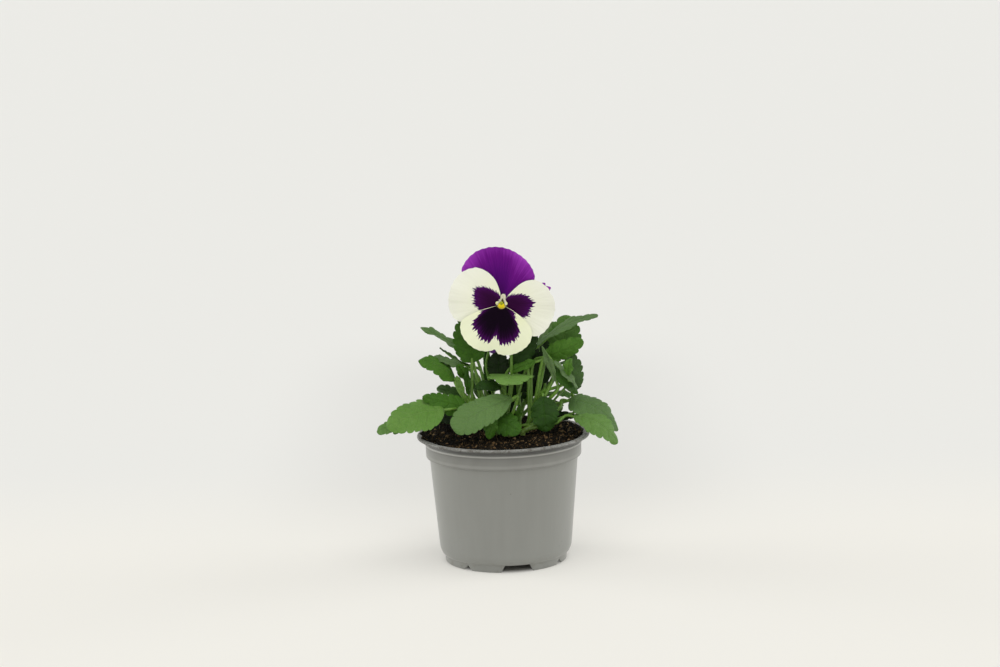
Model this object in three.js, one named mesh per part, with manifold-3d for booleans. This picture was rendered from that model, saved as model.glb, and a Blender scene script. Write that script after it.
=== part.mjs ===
// Potted pansy in a plastic grower's pot: millimetres, +Z up, -Y is the front.
// The plant is laid out from the pot's axis; the whole group is then centred on its outline.
import * as THREE from 'three';
import { mergeVertices } from 'three/addons/utils/BufferGeometryUtils.js';
import Module from 'manifold-3d';

const wasm = await Module();
wasm.setup();

// Driving dimensions of the pot
const LIP_RADIUS = 52.5;
const LIP_TOP = 78.3;
const LIP_THICKNESS = 1.8;
const NECK_RADIUS = 47.2;
const BEAD_RADIUS = 47.9;
const BEAD_TOP = 73.4;
const COLLAR_RADIUS = 47.3;
const COLLAR_BOTTOM = 64.8;
const BODY_TOP_RADIUS = 45.1;
const BODY_BOTTOM_RADIUS = 40.2;
const BODY_BOTTOM = 8.5;
const FOOT_TOP_RADIUS = 37.4;
const FOOT_RADIUS = 36.9;
const FOOT_HEIGHT = 4.4;
const WALL = 1.4;
const FLOOR = 1.6;
const FLOOR_ROUND = 1.8;
const POT_SEGMENTS = 36;
const NOTCH_TURN = 10.5;
const NOTCH_SIDE_STEP = 49.5;
const DRAIN_HOLES = 5;
const DRAIN_RADIUS = 3;
const DRAIN_CIRCLE = 27;

// Driving dimensions of the soil
const SEAT_GAP = 0.3;
const SOIL_EDGE = 77.2;
const SOIL_RISE = 1.4;
const SOIL_LUMP = 0.6;
const SOIL_RINGS = 4;
const SOIL_SEGMENTS = 24;
const SOIL_STRAY = 0.04;
const ROOT_DEPTH = 7;
const HOLE_SIDES = 8;
const HOLE_LENGTH = 40;

// Driving dimensions of the foliage
const BLADE = 0.8;
const STEM_RADIUS = 1.6;
const PETIOLE_RADIUS = 0.95;
const TEETH = 5;
const TOOTH = 0.13;
const WIDE_LEAF = 24;
const WIDEST_AT = 0.45;
const BLUNTNESS = 0.52;
const LEAF_WAVE = 0.8;

// Driving dimensions of the flower, whose own axes are x right, y up and z out of its face
const FLOWER_CENTRE = [0.9, -20, 160];
const FLOWER_TILT = 4;
const FLOWER_TURN = -3;
const PETAL = 0.8;
const PETAL_LAYER = 1.15;
const PETAL_SPREAD = 0.7;
const PETAL_DISH = 3;
const PETAL_RADIUS = 31;
const HUB_RADIUS = 1.6;
const HUB_GAP = 0.35;
const HUB_FRONT = 0.4;
const HUB_DEPTH = 7;
const PETAL_ROWS = 4;
const PETAL_COLUMNS = 12;
const FLOWER_ROOT = [10, 1];
const FLOWER_STALK_RADIUS = 1.15;
const FLOWER_STALK_PATH = [[10, 3, 100], [9, 3, 112], [6, 0, 130], [5, -3, 147], [2, -6, 160]];
const SEPALS = 5;

// Driving dimensions of the bud
const BUD_ROOT = [3, 3.5];
const BUD_TOP = [-4, -6, 142];
const BUD_TIP = [-5.4, -8, 128.3];
const BUD_STALK_PATH = [[1, 4, 100], [-3, 4, 125], [-5, 1, 143], [-5.2, -2.5, 147]];

const POT_GREY = { color: 0x85867f, roughness: 0.42, metalness: 0 };
const SOIL_BROWN = { color: 0x2a211a, roughness: 0.95, metalness: 0 };
const LEAF_GREEN = { color: 0x4d7a35, roughness: 0.55, metalness: 0 };
const STALK_GREEN = { color: 0x6f9434, roughness: 0.5, metalness: 0 };
const PETAL_PURPLE = { color: 0x6a1a80, roughness: 0.7, metalness: 0 };
const PETAL_WHITE = { color: 0xe6ead0, roughness: 0.7, metalness: 0 };
const EYE_YELLOW = { color: 0xe0bd14, roughness: 0.5, metalness: 0 };

const radians = (degrees) => (degrees * Math.PI) / 180;
const vector = (values) => new THREE.Vector3(...values);

// A repeatable draw between 0 and 1
function seededDraw(seed) {
  let state = seed;
  return () => {
    state = (state * 16807) % 2147483647;
    return state / 2147483647;
  };
}

// Turns a closed geometry into a solid that can be joined and cut
function solidOf(geometry) {
  const bare = geometry.index ? geometry.toNonIndexed() : geometry.clone();
  bare.deleteAttribute('normal');
  bare.deleteAttribute('uv');
  const merged = mergeVertices(bare, 1e-4);
  const place = merged.attributes.position.array;
  const corner = Array.from(merged.index.array);
  const kept = [];
  let volume = 0;
  for (let i = 0; i < corner.length; i += 3) {
    const [a, b, c] = [corner[i], corner[i + 1], corner[i + 2]];
    if (a === b || b === c || c === a) continue;
    kept.push(a, b, c);
    const va = new THREE.Vector3().fromArray(place, a * 3);
    const vb = new THREE.Vector3().fromArray(place, b * 3);
    const vc = new THREE.Vector3().fromArray(place, c * 3);
    volume += va.dot(vb.cross(vc));
  }
  if (volume < 0) kept.reverse();
  const mesh = new wasm.Mesh({
    numProp: 3,
    vertProperties: new Float32Array(place),
    triVerts: new Uint32Array(kept),
  });
  mesh.merge();
  return new wasm.Manifold(mesh);
}

// Keeps the largest body of a solid, so that a loose scrap is dropped
function largestBody(solid) {
  const bodies = solid.decompose();
  return bodies.reduce((best, body) => (body.volume() > best.volume() ? body : best));
}

function meshOf(name, solid, finish) {
  const { numProp, vertProperties, triVerts } = solid.getMesh();
  const place = [];
  for (let i = 0; i < vertProperties.length; i += numProp) {
    place.push(vertProperties[i], vertProperties[i + 1], vertProperties[i + 2]);
  }
  const geometry = new THREE.BufferGeometry();
  geometry.setAttribute('position', new THREE.Float32BufferAttribute(place, 3));
  geometry.setIndex(Array.from(triVerts));
  geometry.computeVertexNormals();
  const mesh = new THREE.Mesh(geometry, new THREE.MeshStandardMaterial(finish));
  mesh.name = name;
  return mesh;
}

// Closed skin from two alike grids of points, upper and lower, joined round their edge
function sheetSolid(upper, lower) {
  const rows = upper.length;
  const columns = upper[0].length;
  const place = [];
  for (const grid of [upper, lower]) {
    for (const row of grid) {
      for (const point of row) place.push(point.x, point.y, point.z);
    }
  }
  const at = (side, row, column) => side * rows * columns + row * columns + column;
  const faces = [];
  const quad = (a, b, c, d) => faces.push(a, b, c, a, c, d);
  for (let row = 0; row < rows - 1; row += 1) {
    for (let column = 0; column < columns - 1; column += 1) {
      const corners = [[row, column], [row + 1, column], [row + 1, column + 1], [row, column + 1]];
      const top = corners.map(([r, c]) => at(0, r, c));
      const under = corners.map(([r, c]) => at(1, r, c));
      quad(top[0], top[1], top[2], top[3]);
      faces.push(under[0], under[2], under[1], under[0], under[3], under[2]);
    }
  }
  for (let row = 0; row < rows - 1; row += 1) {
    quad(at(0, row + 1, 0), at(0, row, 0), at(1, row, 0), at(1, row + 1, 0));
    const end = columns - 1;
    quad(at(0, row, end), at(0, row + 1, end), at(1, row + 1, end), at(1, row, end));
  }
  for (let column = 0; column < columns - 1; column += 1) {
    quad(at(0, 0, column), at(0, 0, column + 1), at(1, 0, column + 1), at(1, 0, column));
    const end = rows - 1;
    quad(at(0, end, column + 1), at(0, end, column), at(1, end, column), at(1, end, column + 1));
  }
  const geometry = new THREE.BufferGeometry();
  geometry.setAttribute('position', new THREE.Float32BufferAttribute(place, 3));
  geometry.setIndex(faces);
  return solidOf(geometry);
}

// Upright foot of a stem, from the bottom of its hole to just above the soil
function buriedFoot(x, y) {
  return [-ROOT_DEPTH, -1, 4].map((height) => new THREE.Vector3(x, y, SOIL_EDGE + height));
}

// Round stalk of one thickness along a smooth path
function stalk(points, radius, sides, steps) {
  const section = new THREE.Shape();
  for (let i = 0; i < sides; i += 1) {
    const turn = (i / sides) * 2 * Math.PI;
    const [x, y] = [Math.cos(turn) * radius, Math.sin(turn) * radius];
    if (i === 0) section.moveTo(x, y);
    else section.lineTo(x, y);
  }
  section.closePath();
  const path = new THREE.CatmullRomCurve3(points, false, 'centripetal');
  return solidOf(new THREE.ExtrudeGeometry(section, { steps, extrudePath: path }));
}

// Pot: one moulded wall with a rolled lip, a collar, a raised floor and a notched foot ring
function potSolid() {
  const outline = [
    [FOOT_RADIUS, 0],
    [FOOT_TOP_RADIUS, FOOT_HEIGHT],
    [BODY_BOTTOM_RADIUS - 1.2, FOOT_HEIGHT + 1.3],
    [BODY_BOTTOM_RADIUS, BODY_BOTTOM],
    [BODY_TOP_RADIUS, COLLAR_BOTTOM - 0.4],
    [COLLAR_RADIUS, COLLAR_BOTTOM + 0.2],
    [COLLAR_RADIUS, BEAD_TOP - 1.6],
    [BEAD_RADIUS, BEAD_TOP - 0.6],
    [NECK_RADIUS, BEAD_TOP + 0.4],
    [NECK_RADIUS, LIP_TOP - LIP_THICKNESS - 0.4],
    [LIP_RADIUS - 0.5, LIP_TOP - LIP_THICKNESS],
    [LIP_RADIUS, LIP_TOP - 1.1],
    [LIP_RADIUS - 0.8, LIP_TOP],
    [BEAD_RADIUS + 1, LIP_TOP - 0.4],
    [NECK_RADIUS - WALL, LIP_TOP - LIP_THICKNESS],
    [NECK_RADIUS - WALL, COLLAR_BOTTOM + 1],
    [BODY_TOP_RADIUS - WALL, COLLAR_BOTTOM - 1],
    [BODY_BOTTOM_RADIUS - WALL, BODY_BOTTOM],
    [BODY_BOTTOM_RADIUS - WALL - FLOOR_ROUND, FOOT_HEIGHT + FLOOR],
    [0, FOOT_HEIGHT + FLOOR],
    [0, FOOT_HEIGHT],
    [FOOT_RADIUS - WALL - 0.6, FOOT_HEIGHT],
    [FOOT_RADIUS - WALL, 0],
    [FOOT_RADIUS, 0],
  ].map(([radius, height]) => new THREE.Vector2(radius, height));
  const turned = new THREE.LatheGeometry(outline, POT_SEGMENTS);
  turned.rotateX(Math.PI / 2);
  let pot = solidOf(turned);
  for (let i = 0; i < DRAIN_HOLES; i += 1) {
    const turn = (i / DRAIN_HOLES) * 2 * Math.PI;
    const hole = new THREE.CylinderGeometry(DRAIN_RADIUS, DRAIN_RADIUS, 6, 9);
    hole.rotateX(Math.PI / 2);
    hole.translate(DRAIN_CIRCLE * Math.cos(turn), DRAIN_CIRCLE * Math.sin(turn), FOOT_HEIGHT + 1);
    pot = pot.subtract(solidOf(hole));
  }
  const wide = [[-10.4, -1], [10.4, -1], [7.6, FOOT_HEIGHT], [-7.6, FOOT_HEIGHT]];
  const peak = [[-4.2, -1], [4.2, -1], [0, FOOT_HEIGHT - 1.2]];
  for (const half of [0, 180]) {
    const turn = NOTCH_TURN + half;
    pot = pot.subtract(footNotch(wide, turn));
    pot = pot.subtract(footNotch(peak, turn - NOTCH_SIDE_STEP));
    pot = pot.subtract(footNotch(peak, turn + NOTCH_SIDE_STEP));
  }
  return pot;
}

// Notch through the foot ring: an outline seen from outside, turned from the front towards +X
function footNotch(corners, turn) {
  const shape = new THREE.Shape(corners.map(([x, y]) => new THREE.Vector2(x, y)));
  const cut = new THREE.ExtrudeGeometry(shape, { depth: 12, bevelEnabled: false });
  cut.translate(0, 0, FOOT_RADIUS - 6);
  cut.rotateX(Math.PI / 2);
  cut.rotateZ(radians(turn));
  return solidOf(cut);
}

// Soil: fills the pot to the inner edge of its lip, with a lumpy top and a hole for each stem
function soilHeight(radius, turn) {
  const share = radius / BEAD_RADIUS;
  return SOIL_EDGE + SOIL_RISE * (1 - share * share) * (1 + 0.5 * Math.sin(turn - 0.6));
}

function soilSolid(roots) {
  const draw = seededDraw(4711);
  const place = [];
  const rings = [];
  const point = (radius, turn, height) => {
    place.push(radius * Math.cos(turn), radius * Math.sin(turn), height);
    return place.length / 3 - 1;
  };
  // The wall's facets are nearest the axis at their middles
  const inside = (radius) => (radius - WALL) * Math.cos(Math.PI / POT_SEGMENTS) - SEAT_GAP;
  const edge = inside(NECK_RADIUS);
  for (let ring = 1; ring < SOIL_RINGS; ring += 1) {
    rings.push(ringOf((turn) => {
      const stray = 1 + SOIL_STRAY * (2 * draw() - 1);
      const radius = edge * Math.sqrt(ring / SOIL_RINGS) * stray;
      return point(radius, turn, soilHeight(radius, turn) + SOIL_LUMP * (2 * draw() - 1));
    }));
  }
  rings.push(ringOf((turn) => point(edge, turn, soilHeight(edge, turn))));
  const floor = FOOT_HEIGHT + FLOOR + SEAT_GAP;
  const walls = [
    [edge, COLLAR_BOTTOM + 1],
    [inside(BODY_TOP_RADIUS), COLLAR_BOTTOM - 1],
    [inside(BODY_BOTTOM_RADIUS), BODY_BOTTOM],
    [inside(BODY_BOTTOM_RADIUS - FLOOR_ROUND), floor],
  ];
  for (const [radius, height] of walls) rings.push(ringOf((turn) => point(radius, turn, height)));
  const crown = point(0, 0, SOIL_EDGE + SOIL_RISE);
  const foot = point(0, 0, floor);
  const faces = [];
  for (let step = 0; step < SOIL_SEGMENTS; step += 1) {
    const next = (step + 1) % SOIL_SEGMENTS;
    faces.push(crown, rings[0][step], rings[0][next]);
    for (let ring = 0; ring < rings.length - 1; ring += 1) {
      const [a, b] = [rings[ring], rings[ring + 1]];
      faces.push(a[step], b[step], b[next], a[step], b[next], a[next]);
    }
    faces.push(foot, rings.at(-1)[next], rings.at(-1)[step]);
  }
  const geometry = new THREE.BufferGeometry();
  geometry.setAttribute('position', new THREE.Float32BufferAttribute(place, 3));
  geometry.setIndex(faces);
  let soil = solidOf(geometry);
  for (const root of roots) {
    const radius = root.radius / Math.cos(Math.PI / HOLE_SIDES);
    const hole = new THREE.CylinderGeometry(radius, radius, HOLE_LENGTH, HOLE_SIDES);
    hole.rotateX(Math.PI / 2);
    hole.translate(root.x, root.y, SOIL_EDGE - ROOT_DEPTH - SEAT_GAP + HOLE_LENGTH / 2);
    soil = soil.subtract(solidOf(hole));
  }
  return soil;
}

// One ring of the soil: a point made at each even step round the axis
function ringOf(make) {
  const turnOf = (step) => (step / SOIL_SEGMENTS) * 2 * Math.PI;
  return Array.from({ length: SOIL_SEGMENTS }, (_, step) => make(turnOf(step)));
}

// Leaf blade: toothed outline round a curved midrib, both halves folded from it
// arch lifts the middle of the midrib in millimetres, fold lifts the halves in degrees
function bladeMidrib(leaf) {
  const base = vector(leaf.base);
  const tip = vector(leaf.tip);
  const chord = tip.clone().sub(base);
  const along = chord.clone().normalize();
  const facing = vector(leaf.up);
  facing.addScaledVector(along, -facing.dot(along)).normalize();
  const at = (s) => {
    const rise = leaf.arch * 4 * s * (1 - s);
    return base.clone().addScaledVector(chord, s).addScaledVector(facing, rise);
  };
  const frame = (s) => {
    const tangent = chord.clone().addScaledVector(facing, leaf.arch * 4 * (1 - 2 * s)).normalize();
    const normal = facing.clone().addScaledVector(tangent, -facing.dot(tangent)).normalize();
    const side = tangent.clone().cross(normal);
    return { tangent, normal, side };
  };
  return { at, frame };
}

function bladeSolid(leaf) {
  const midrib = bladeMidrib(leaf);
  const fold = radians(leaf.fold);
  const rows = (leaf.teeth ?? TEETH) * 2;
  const across = leaf.width > WIDE_LEAF ? [-1, -0.55, 0, 0.55, 1] : [-1, 0, 1];
  const power = Math.log(0.5) / Math.log(WIDEST_AT);
  const upper = [];
  const lower = [];
  for (let row = 0; row <= rows; row += 1) {
    const s = row / rows;
    const notch = row % 2 === 1 || row === 0 || row === rows ? 0 : TOOTH;
    const bow = Math.pow(Math.sin(Math.PI * Math.pow(s, power)), BLUNTNESS);
    const half = Math.max((leaf.width / 2) * bow * (1 - notch), row === rows ? 0.7 : 0.9);
    const { normal, side } = midrib.frame(s);
    const centre = midrib.at(s);
    const top = [];
    const under = [];
    for (const v of across) {
      const ripple = LEAF_WAVE * v * v * Math.sin(2 * Math.PI * 1.6 * s + (v > 0 ? 0 : 1.9));
      const point = centre.clone();
      point.addScaledVector(side, v * half * Math.cos(fold));
      point.addScaledVector(normal, Math.abs(v) * half * Math.sin(fold) + ripple);
      const outward = normal.clone().multiplyScalar(Math.cos(fold));
      outward.addScaledVector(side, -Math.sign(v) * Math.sin(fold)).normalize();
      top.push(point.clone().addScaledVector(outward, BLADE / 2));
      under.push(point.clone().addScaledVector(outward, -BLADE / 2));
    }
    upper.push(top);
    lower.push(under);
  }
  return sheetSolid(upper, lower);
}

// Leaf stalk, from a point on its stem, by way of its bend if it has one, into the blade's base
function petioleSolid(leaf, from) {
  const midrib = bladeMidrib(leaf);
  const base = vector(leaf.base);
  const { tangent, normal } = midrib.frame(0);
  const reach = base.distanceTo(from);
  const points = [from];
  if (leaf.bend) points.push(vector(leaf.bend));
  points.push(base.clone().addScaledVector(tangent, -reach * 0.18).addScaledVector(normal, -0.4));
  points.push(midrib.at(0.04));
  return stalk(points, PETIOLE_RADIUS, 5, 4);
}

// Leafy stem: buried foot, upright stem, and each leaf on its own stalk from a point on it
function leafyStem(stem) {
  const [x, y] = stem.root;
  const points = [...buriedFoot(x, y), ...stem.path.map(vector)];
  const path = new THREE.CatmullRomCurve3(points, false, 'centripetal');
  const pieces = [stalk(points, STEM_RADIUS, 7, 7)];
  stem.leaves.forEach((leaf, i) => {
    const share = (i + 0.5) / stem.leaves.length;
    const from = path.getPoint(0.62 + 0.36 * share);
    pieces.push(petioleSolid(leaf, from));
    pieces.push(bladeSolid(leaf));
  });
  return largestBody(wasm.Manifold.union(pieces));
}

// Leaves of each stem: base and tip of the blade, its width, the way its upper face looks,
// how it arches and folds, and where its stalk bends
const leaf = (base, tip, width, up, shape) => ({ base, tip, width, up, ...shape });

const STEMS = {
  leafy_stem_left: {
    root: [-3, -3],
    path: [[-9, -4, 84], [-19, -4, 98]],
    leaves: [
      leaf([-28.3, -4, 113.2], [-50, -9, 125.7], 16.5, [-0.2, -0.35, 1], { arch: 2.5, fold: -8 }),
      leaf([-17, -3, 122.5], [-22, -2, 148], 21, [-0.1, -1, 0.2], { arch: 2, fold: 8 }),
      leaf([-23.2, 6, 127.8], [-47.5, 3, 143], 8, [-0.1, -0.35, 1], { arch: 0.5, fold: 12, teeth: 4 }),
      leaf([-20, 5, 117], [-38, 5, 130], 4.5, [-0.6, 0.15, 0.8], { arch: -1, fold: 5, teeth: 3 }),
      leaf([-24.4, 3, 102.2], [-40.4, 3, 105.7], 6.5, [0, -0.7, 0.6], { arch: 1, fold: 8, teeth: 4 }),
      leaf([-24, 0, 119], [-44.8, -2, 126.7], 9, [0, 0.6, 0.8], { arch: -1, fold: 8, teeth: 4 }),
      leaf([-22.5, -2, 113], [-26.3, -3, 121], 7, [0.3, -1, 0], { arch: 1, fold: 20, teeth: 3 }),
    ],
  },
  leafy_stem_front_left: {
    root: [-5, -10],
    path: [[-9, -10, 84], [-13, -10, 89]],
    leaves: [
      leaf([-22.6, -14, 95.4], [-47.5, -20, 103.5], 13, [0, -0.8, 0.65], { arch: 2, fold: -10 }),
      leaf([-36, -22, 99.9], [-68.4, -30, 89.8], 25, [-0.1, -0.55, 0.8], {
        arch: 3, fold: -8, bend: [-25, -12, 95],
      }),
      leaf([-57.8, -12, 87.4], [-76, -13, 84], 11.5, [-0.2, -0.5, 0.8], {
        arch: 2, fold: -5, teeth: 4, bend: [-32, -9, 94],
      }),
    ],
  },
  leafy_stem_front: {
    root: [3, -13],
    path: [[2, -13, 84], [0, -14, 92]],
    leaves: [
      leaf([1.3, -20, 103.8], [-28.2, -31, 85.8], 20.5, [-0.25, -0.75, 0.6], { arch: 2.5, fold: -6 }),
      leaf([-4, -19, 95], [-5.5, -24, 79.5], 10, [0.3, -1, 0.1], { arch: 1.5, fold: -8, teeth: 4 }),
      leaf([4, -17, 93.5], [1, -25, 79], 15, [0.1, -0.9, 0.3], { arch: 1.5, fold: -8 }),
    ],
  },
  leafy_stem_middle: {
    root: [1.5, -5],
    path: [[2, -5, 86], [3, -4.5, 100]],
    leaves: [
      leaf([2.6, -1.2, 98.8], [2.6, -0.8, 81.5], 11, [0.1, -1, 0.1], { arch: 1, fold: -4, teeth: 4 }),
      leaf([6.5, -5, 114], [4, -29, 113.5], 29, [0, -0.1, 1], { arch: 2, fold: -6 }),
      leaf([5, -7, 125], [21, -7, 139.5], 13, [0.1, -1, 0.2], { arch: 1, fold: 5 }),
      leaf([-1.2, -2.5, 111], [-2, -1.5, 128], 15, [0, -1, 0.1], { arch: 1, fold: 8 }),
      leaf([-2.5, -8, 109.5], [-16, -10, 110], 9, [0, -0.7, 0.7], { arch: 1.5, fold: -10, teeth: 4 }),
    ],
  },
  leafy_stem_right: {
    root: [14, -3],
    path: [[18, -3, 90], [23, -3, 104]],
    leaves: [
      leaf([18.5, 0, 130], [58.5, -2, 149.5], 14, [-0.3, -0.25, 0.95], {
        arch: 1, fold: 14, teeth: 6, bend: [16, -1, 114],
      }),
      leaf([35, 8, 121], [42, 10, 146.5], 22, [0.2, -1, 0.15], { arch: 1.5, fold: 6 }),
      leaf([26, -2, 124], [49.5, -4, 135], 14, [-0.2, -1, -0.3], { arch: 1.5, fold: -10 }),
      leaf([33, -8, 109], [25, -12, 132.3], 7, [-0.85, -0.5, 0], { arch: -1, fold: 10, teeth: 4 }),
      leaf([31.6, -8, 121.6], [45.5, -12, 103.6], 15, [0.6, -0.45, 0.7], { arch: 2, fold: -30 }),
      leaf([42.4, 4, 101.5], [40.4, 4, 125], 15.5, [0.4, -0.9, 0], { arch: 1.5, fold: 15 }),
      leaf([24, -11, 99], [25.7, -16, 81.5], 17, [0, -1, 0.1], { arch: 2, fold: -5 }),
      leaf([20.2, -9, 123], [4.8, -7, 116.6], 6.5, [0.1, -0.8, 0.6], {
        arch: 1, fold: 8, teeth: 4, bend: [26, -6, 125],
      }),
      leaf([39.6, -14, 115], [41.6, -15, 125.4], 6, [-0.5, -0.8, 0.2], { arch: 1, fold: 15, teeth: 3 }),
    ],
  },
  leafy_stem_right_low: {
    root: [12, -9],
    path: [[15, -9, 82], [20, -8, 85]],
    leaves: [
      leaf([42.8, -14, 90.9], [67.6, -20, 74.9], 17, [0.35, -0.6, 0.7], {
        arch: 6.5, fold: -8, bend: [30, -9, 86],
      }),
      leaf([43.4, -3, 100.4], [66.7, -8, 80.2], 20.5, [0.35, -0.5, 0.8], {
        arch: 4.5, fold: -8, bend: [30, -4, 92],
      }),
      leaf([8.5, -6.5, 85.5], [10.5, -8, 96.5], 4.5, [-0.3, -1, 0], { arch: 0.5, fold: 15, teeth: 3 }),
    ],
  },
  leafy_stem_back_left: {
    root: [-2, 8],
    path: [[-5, 9, 88], [-8, 10, 100]],
    leaves: [
      leaf([-24, 14, 89], [-47, 22, 87], 17, [0, -0.1, 1], { arch: 4, fold: -10, teeth: 4 }),
      leaf([-16, 24, 93], [-31, 47, 84], 18, [-0.1, 0.3, 1], { arch: 4, fold: -10, teeth: 4 }),
      leaf([-3, 26, 91], [-7, 57, 80], 19, [0, 0.3, 1], { arch: 5, fold: -10, teeth: 4 }),
      leaf([-9, 14, 119], [-20, 27, 135], 15, [0.2, 0.7, 0.7], { arch: 2, fold: 8, teeth: 4 }),
      leaf([-6, 18, 103], [-22, 26, 100], 12, [0, -0.1, 1], { arch: 2, fold: -10, teeth: 4 }),
    ],
  },
  leafy_stem_back_right: {
    root: [9, 9],
    path: [[11, 10, 88], [15, 11, 102]],
    leaves: [
      leaf([27, 16, 98], [48, 24, 93], 14, [0, -0.1, 1], { arch: 3, fold: -10, teeth: 4 }),
      leaf([22, 25, 92], [35, 48, 81], 18, [0.1, 0.3, 1], { arch: 4, fold: -10, teeth: 4 }),
      leaf([12, 28, 91], [17, 57, 84], 17, [0, 0.3, 1], { arch: 4, fold: -10, teeth: 4 }),
      leaf([22, 13, 123], [34, 27, 140], 15, [-0.2, 0.7, 0.7], { arch: 2, fold: 8, teeth: 4 }),
      leaf([30, 14, 112], [46, 23, 117], 14, [0.1, 0.4, 0.9], { arch: 3, fold: -8, teeth: 4 }),
      leaf([8, 15, 118], [5, 32, 132], 15, [0, 0.7, 0.7], { arch: 2, fold: 8, teeth: 4 }),
      leaf([22.5, 9, 96], [23, 8.5, 124], 12, [0.1, -1, 0.1], { arch: 1, fold: -8, teeth: 4 }),
      leaf([8, 6.3, 111], [6, 6.3, 93], 17, [0, -1, 0.1], { arch: 1, fold: -6, teeth: 4 }),
    ],
  },
};

// Flower: five petals in four layers round a hub, each a sheet that fans out from it
// turn is where a petal points, spread its half angle near the hub and at its rim, to each side
const PETALS = {
  petal_upper_back: { layer: 3, turn: 10, spread: [[48, 52], [40, 48]], reach: 30.8, bluntness: 1.8 },
  petal_upper_front: { layer: 2, turn: 104, spread: [[50, 68], [52, 80]], reach: 33.8, bluntness: 2.8 },
  petal_side_left: { layer: 1, turn: 160, spread: [[56, 62], [50, 60]], reach: 31.6, bluntness: 2.6 },
  petal_side_right: { layer: 1, turn: -7, spread: [[56, 62], [56, 66]], reach: 32, bluntness: 2.8 },
  petal_lower: { layer: 0, turn: -97, spread: [[54, 68], [54, 78]], reach: 31.6, bluntness: 4, side: 0.52 },
};

function petalHeight(radius, angle, layer) {
  const share = radius / PETAL_RADIUS;
  const ruffle = Math.pow(share, 3) * (1.1 * Math.sin(5 * angle) + 0.25 * Math.sin(11 * angle + layer));
  return ruffle - PETAL_DISH * share * share - layer * (PETAL_LAYER + PETAL_SPREAD * share);
}

function petalSolid({ layer, turn, spread, reach, bluntness, side = 0.34 }) {
  const upper = [];
  const lower = [];
  const start = HUB_RADIUS + HUB_GAP;
  for (let row = 0; row <= PETAL_ROWS; row += 1) {
    const share = row / PETAL_ROWS;
    const top = [];
    const under = [];
    for (let column = 0; column <= PETAL_COLUMNS; column += 1) {
      const across = (2 * column) / PETAL_COLUMNS - 1;
      const [inner, outer] = across > 0 ? spread[0] : spread[1];
      const round = Math.sqrt(1 - Math.pow(Math.abs(across), bluntness));
      const edge = reach * Math.max(round, side);
      const radius = start + (edge - start) * Math.pow(share, 0.85);
      const swing = THREE.MathUtils.smoothstep(radius / reach, 0.3, 0.9);
      const angle = radians(turn + across * (inner + (outer - inner) * swing));
      const height = petalHeight(radius, angle, layer);
      const [x, y] = [radius * Math.cos(angle), radius * Math.sin(angle)];
      top.push(new THREE.Vector3(x, y, height + PETAL / 2));
      under.push(new THREE.Vector3(x, y, height - PETAL / 2));
    }
    upper.push(top);
    lower.push(under);
  }
  return sheetSolid(upper, lower);
}

// Eye: a small domed throat on the front of the hub
function eyeSolid() {
  const base = HUB_FRONT + SEAT_GAP;
  const outline = [[0, base], [2.2, base], [2, base + 0.7], [1.1, base + 1.2], [0, base + 1.3]];
  const dome = new THREE.LatheGeometry(outline.map(([r, h]) => new THREE.Vector2(r, h)), 14);
  dome.rotateX(Math.PI / 2);
  return solidOf(dome);
}

// Narrow pointed sepal that leans away from an axis, fanned from a start radius
function sepalSolid({ turn, start, length, width, height, lean }) {
  const upper = [];
  const lower = [];
  const [cos, sin] = [Math.cos(turn), Math.sin(turn)];
  for (const [share, span] of [[0, 0.55], [0.3, 1], [0.65, 0.8], [1, 0.22]]) {
    const radius = start + length * share * Math.cos(lean);
    const level = height + length * share * Math.sin(lean);
    const top = [];
    const under = [];
    for (const across of [-1, 0, 1]) {
      const aside = (across * span * width) / 2;
      const point = [radius * cos - aside * sin, radius * sin + aside * cos];
      const rise = -0.25 * across * across;
      top.push(new THREE.Vector3(...point, level + rise + BLADE / 2));
      under.push(new THREE.Vector3(...point, level + rise - BLADE / 2));
    }
    upper.push(top);
    lower.push(under);
  }
  return sheetSolid(upper, lower);
}

// Flower stalk: rises from the soil, hooks over and ends in the hub, with sepals and a spur
function flowerStalkSolid(flower) {
  const hub = new THREE.CylinderGeometry(HUB_RADIUS, HUB_RADIUS, HUB_FRONT + HUB_DEPTH, 10);
  hub.rotateX(Math.PI / 2);
  hub.translate(0, 0, (HUB_FRONT - HUB_DEPTH) / 2);
  const calyx = [solidOf(hub)];
  for (let i = 0; i < SEPALS; i += 1) {
    const turn = (i / SEPALS) * 2 * Math.PI + Math.PI / 2;
    calyx.push(sepalSolid({ turn, start: 1, length: 13, width: 4, height: -6, lean: -0.12 }));
  }
  const spur = [[0, -0.6, -5], [0, -1.8, -8], [0, -2.6, -10.5]];
  calyx.push(stalk(spur.map(vector), 1.1, 6, 3));
  const placed = calyx.map((piece) => piece.transform(flower.elements));
  const end = new THREE.Vector3(0, 0, -HUB_DEPTH + 0.8).applyMatrix4(flower);
  const behind = new THREE.Vector3(0, 1.5, -HUB_DEPTH - 3).applyMatrix4(flower);
  const [x, y] = FLOWER_ROOT;
  const points = [...buriedFoot(x, y), ...FLOWER_STALK_PATH.map(vector), behind, end];
  placed.push(stalk(points, FLOWER_STALK_RADIUS, 6, 15));
  return largestBody(wasm.Manifold.union(placed));
}

// Bud: a closed purple bud nodding from its own stalk, inside five sepals
function budFrame() {
  const axis = vector(BUD_TOP).sub(vector(BUD_TIP)).normalize();
  const turn = new THREE.Quaternion().setFromUnitVectors(new THREE.Vector3(0, 0, 1), axis);
  return new THREE.Matrix4().compose(vector(BUD_TOP), turn, new THREE.Vector3(1, 1, 1));
}

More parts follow.
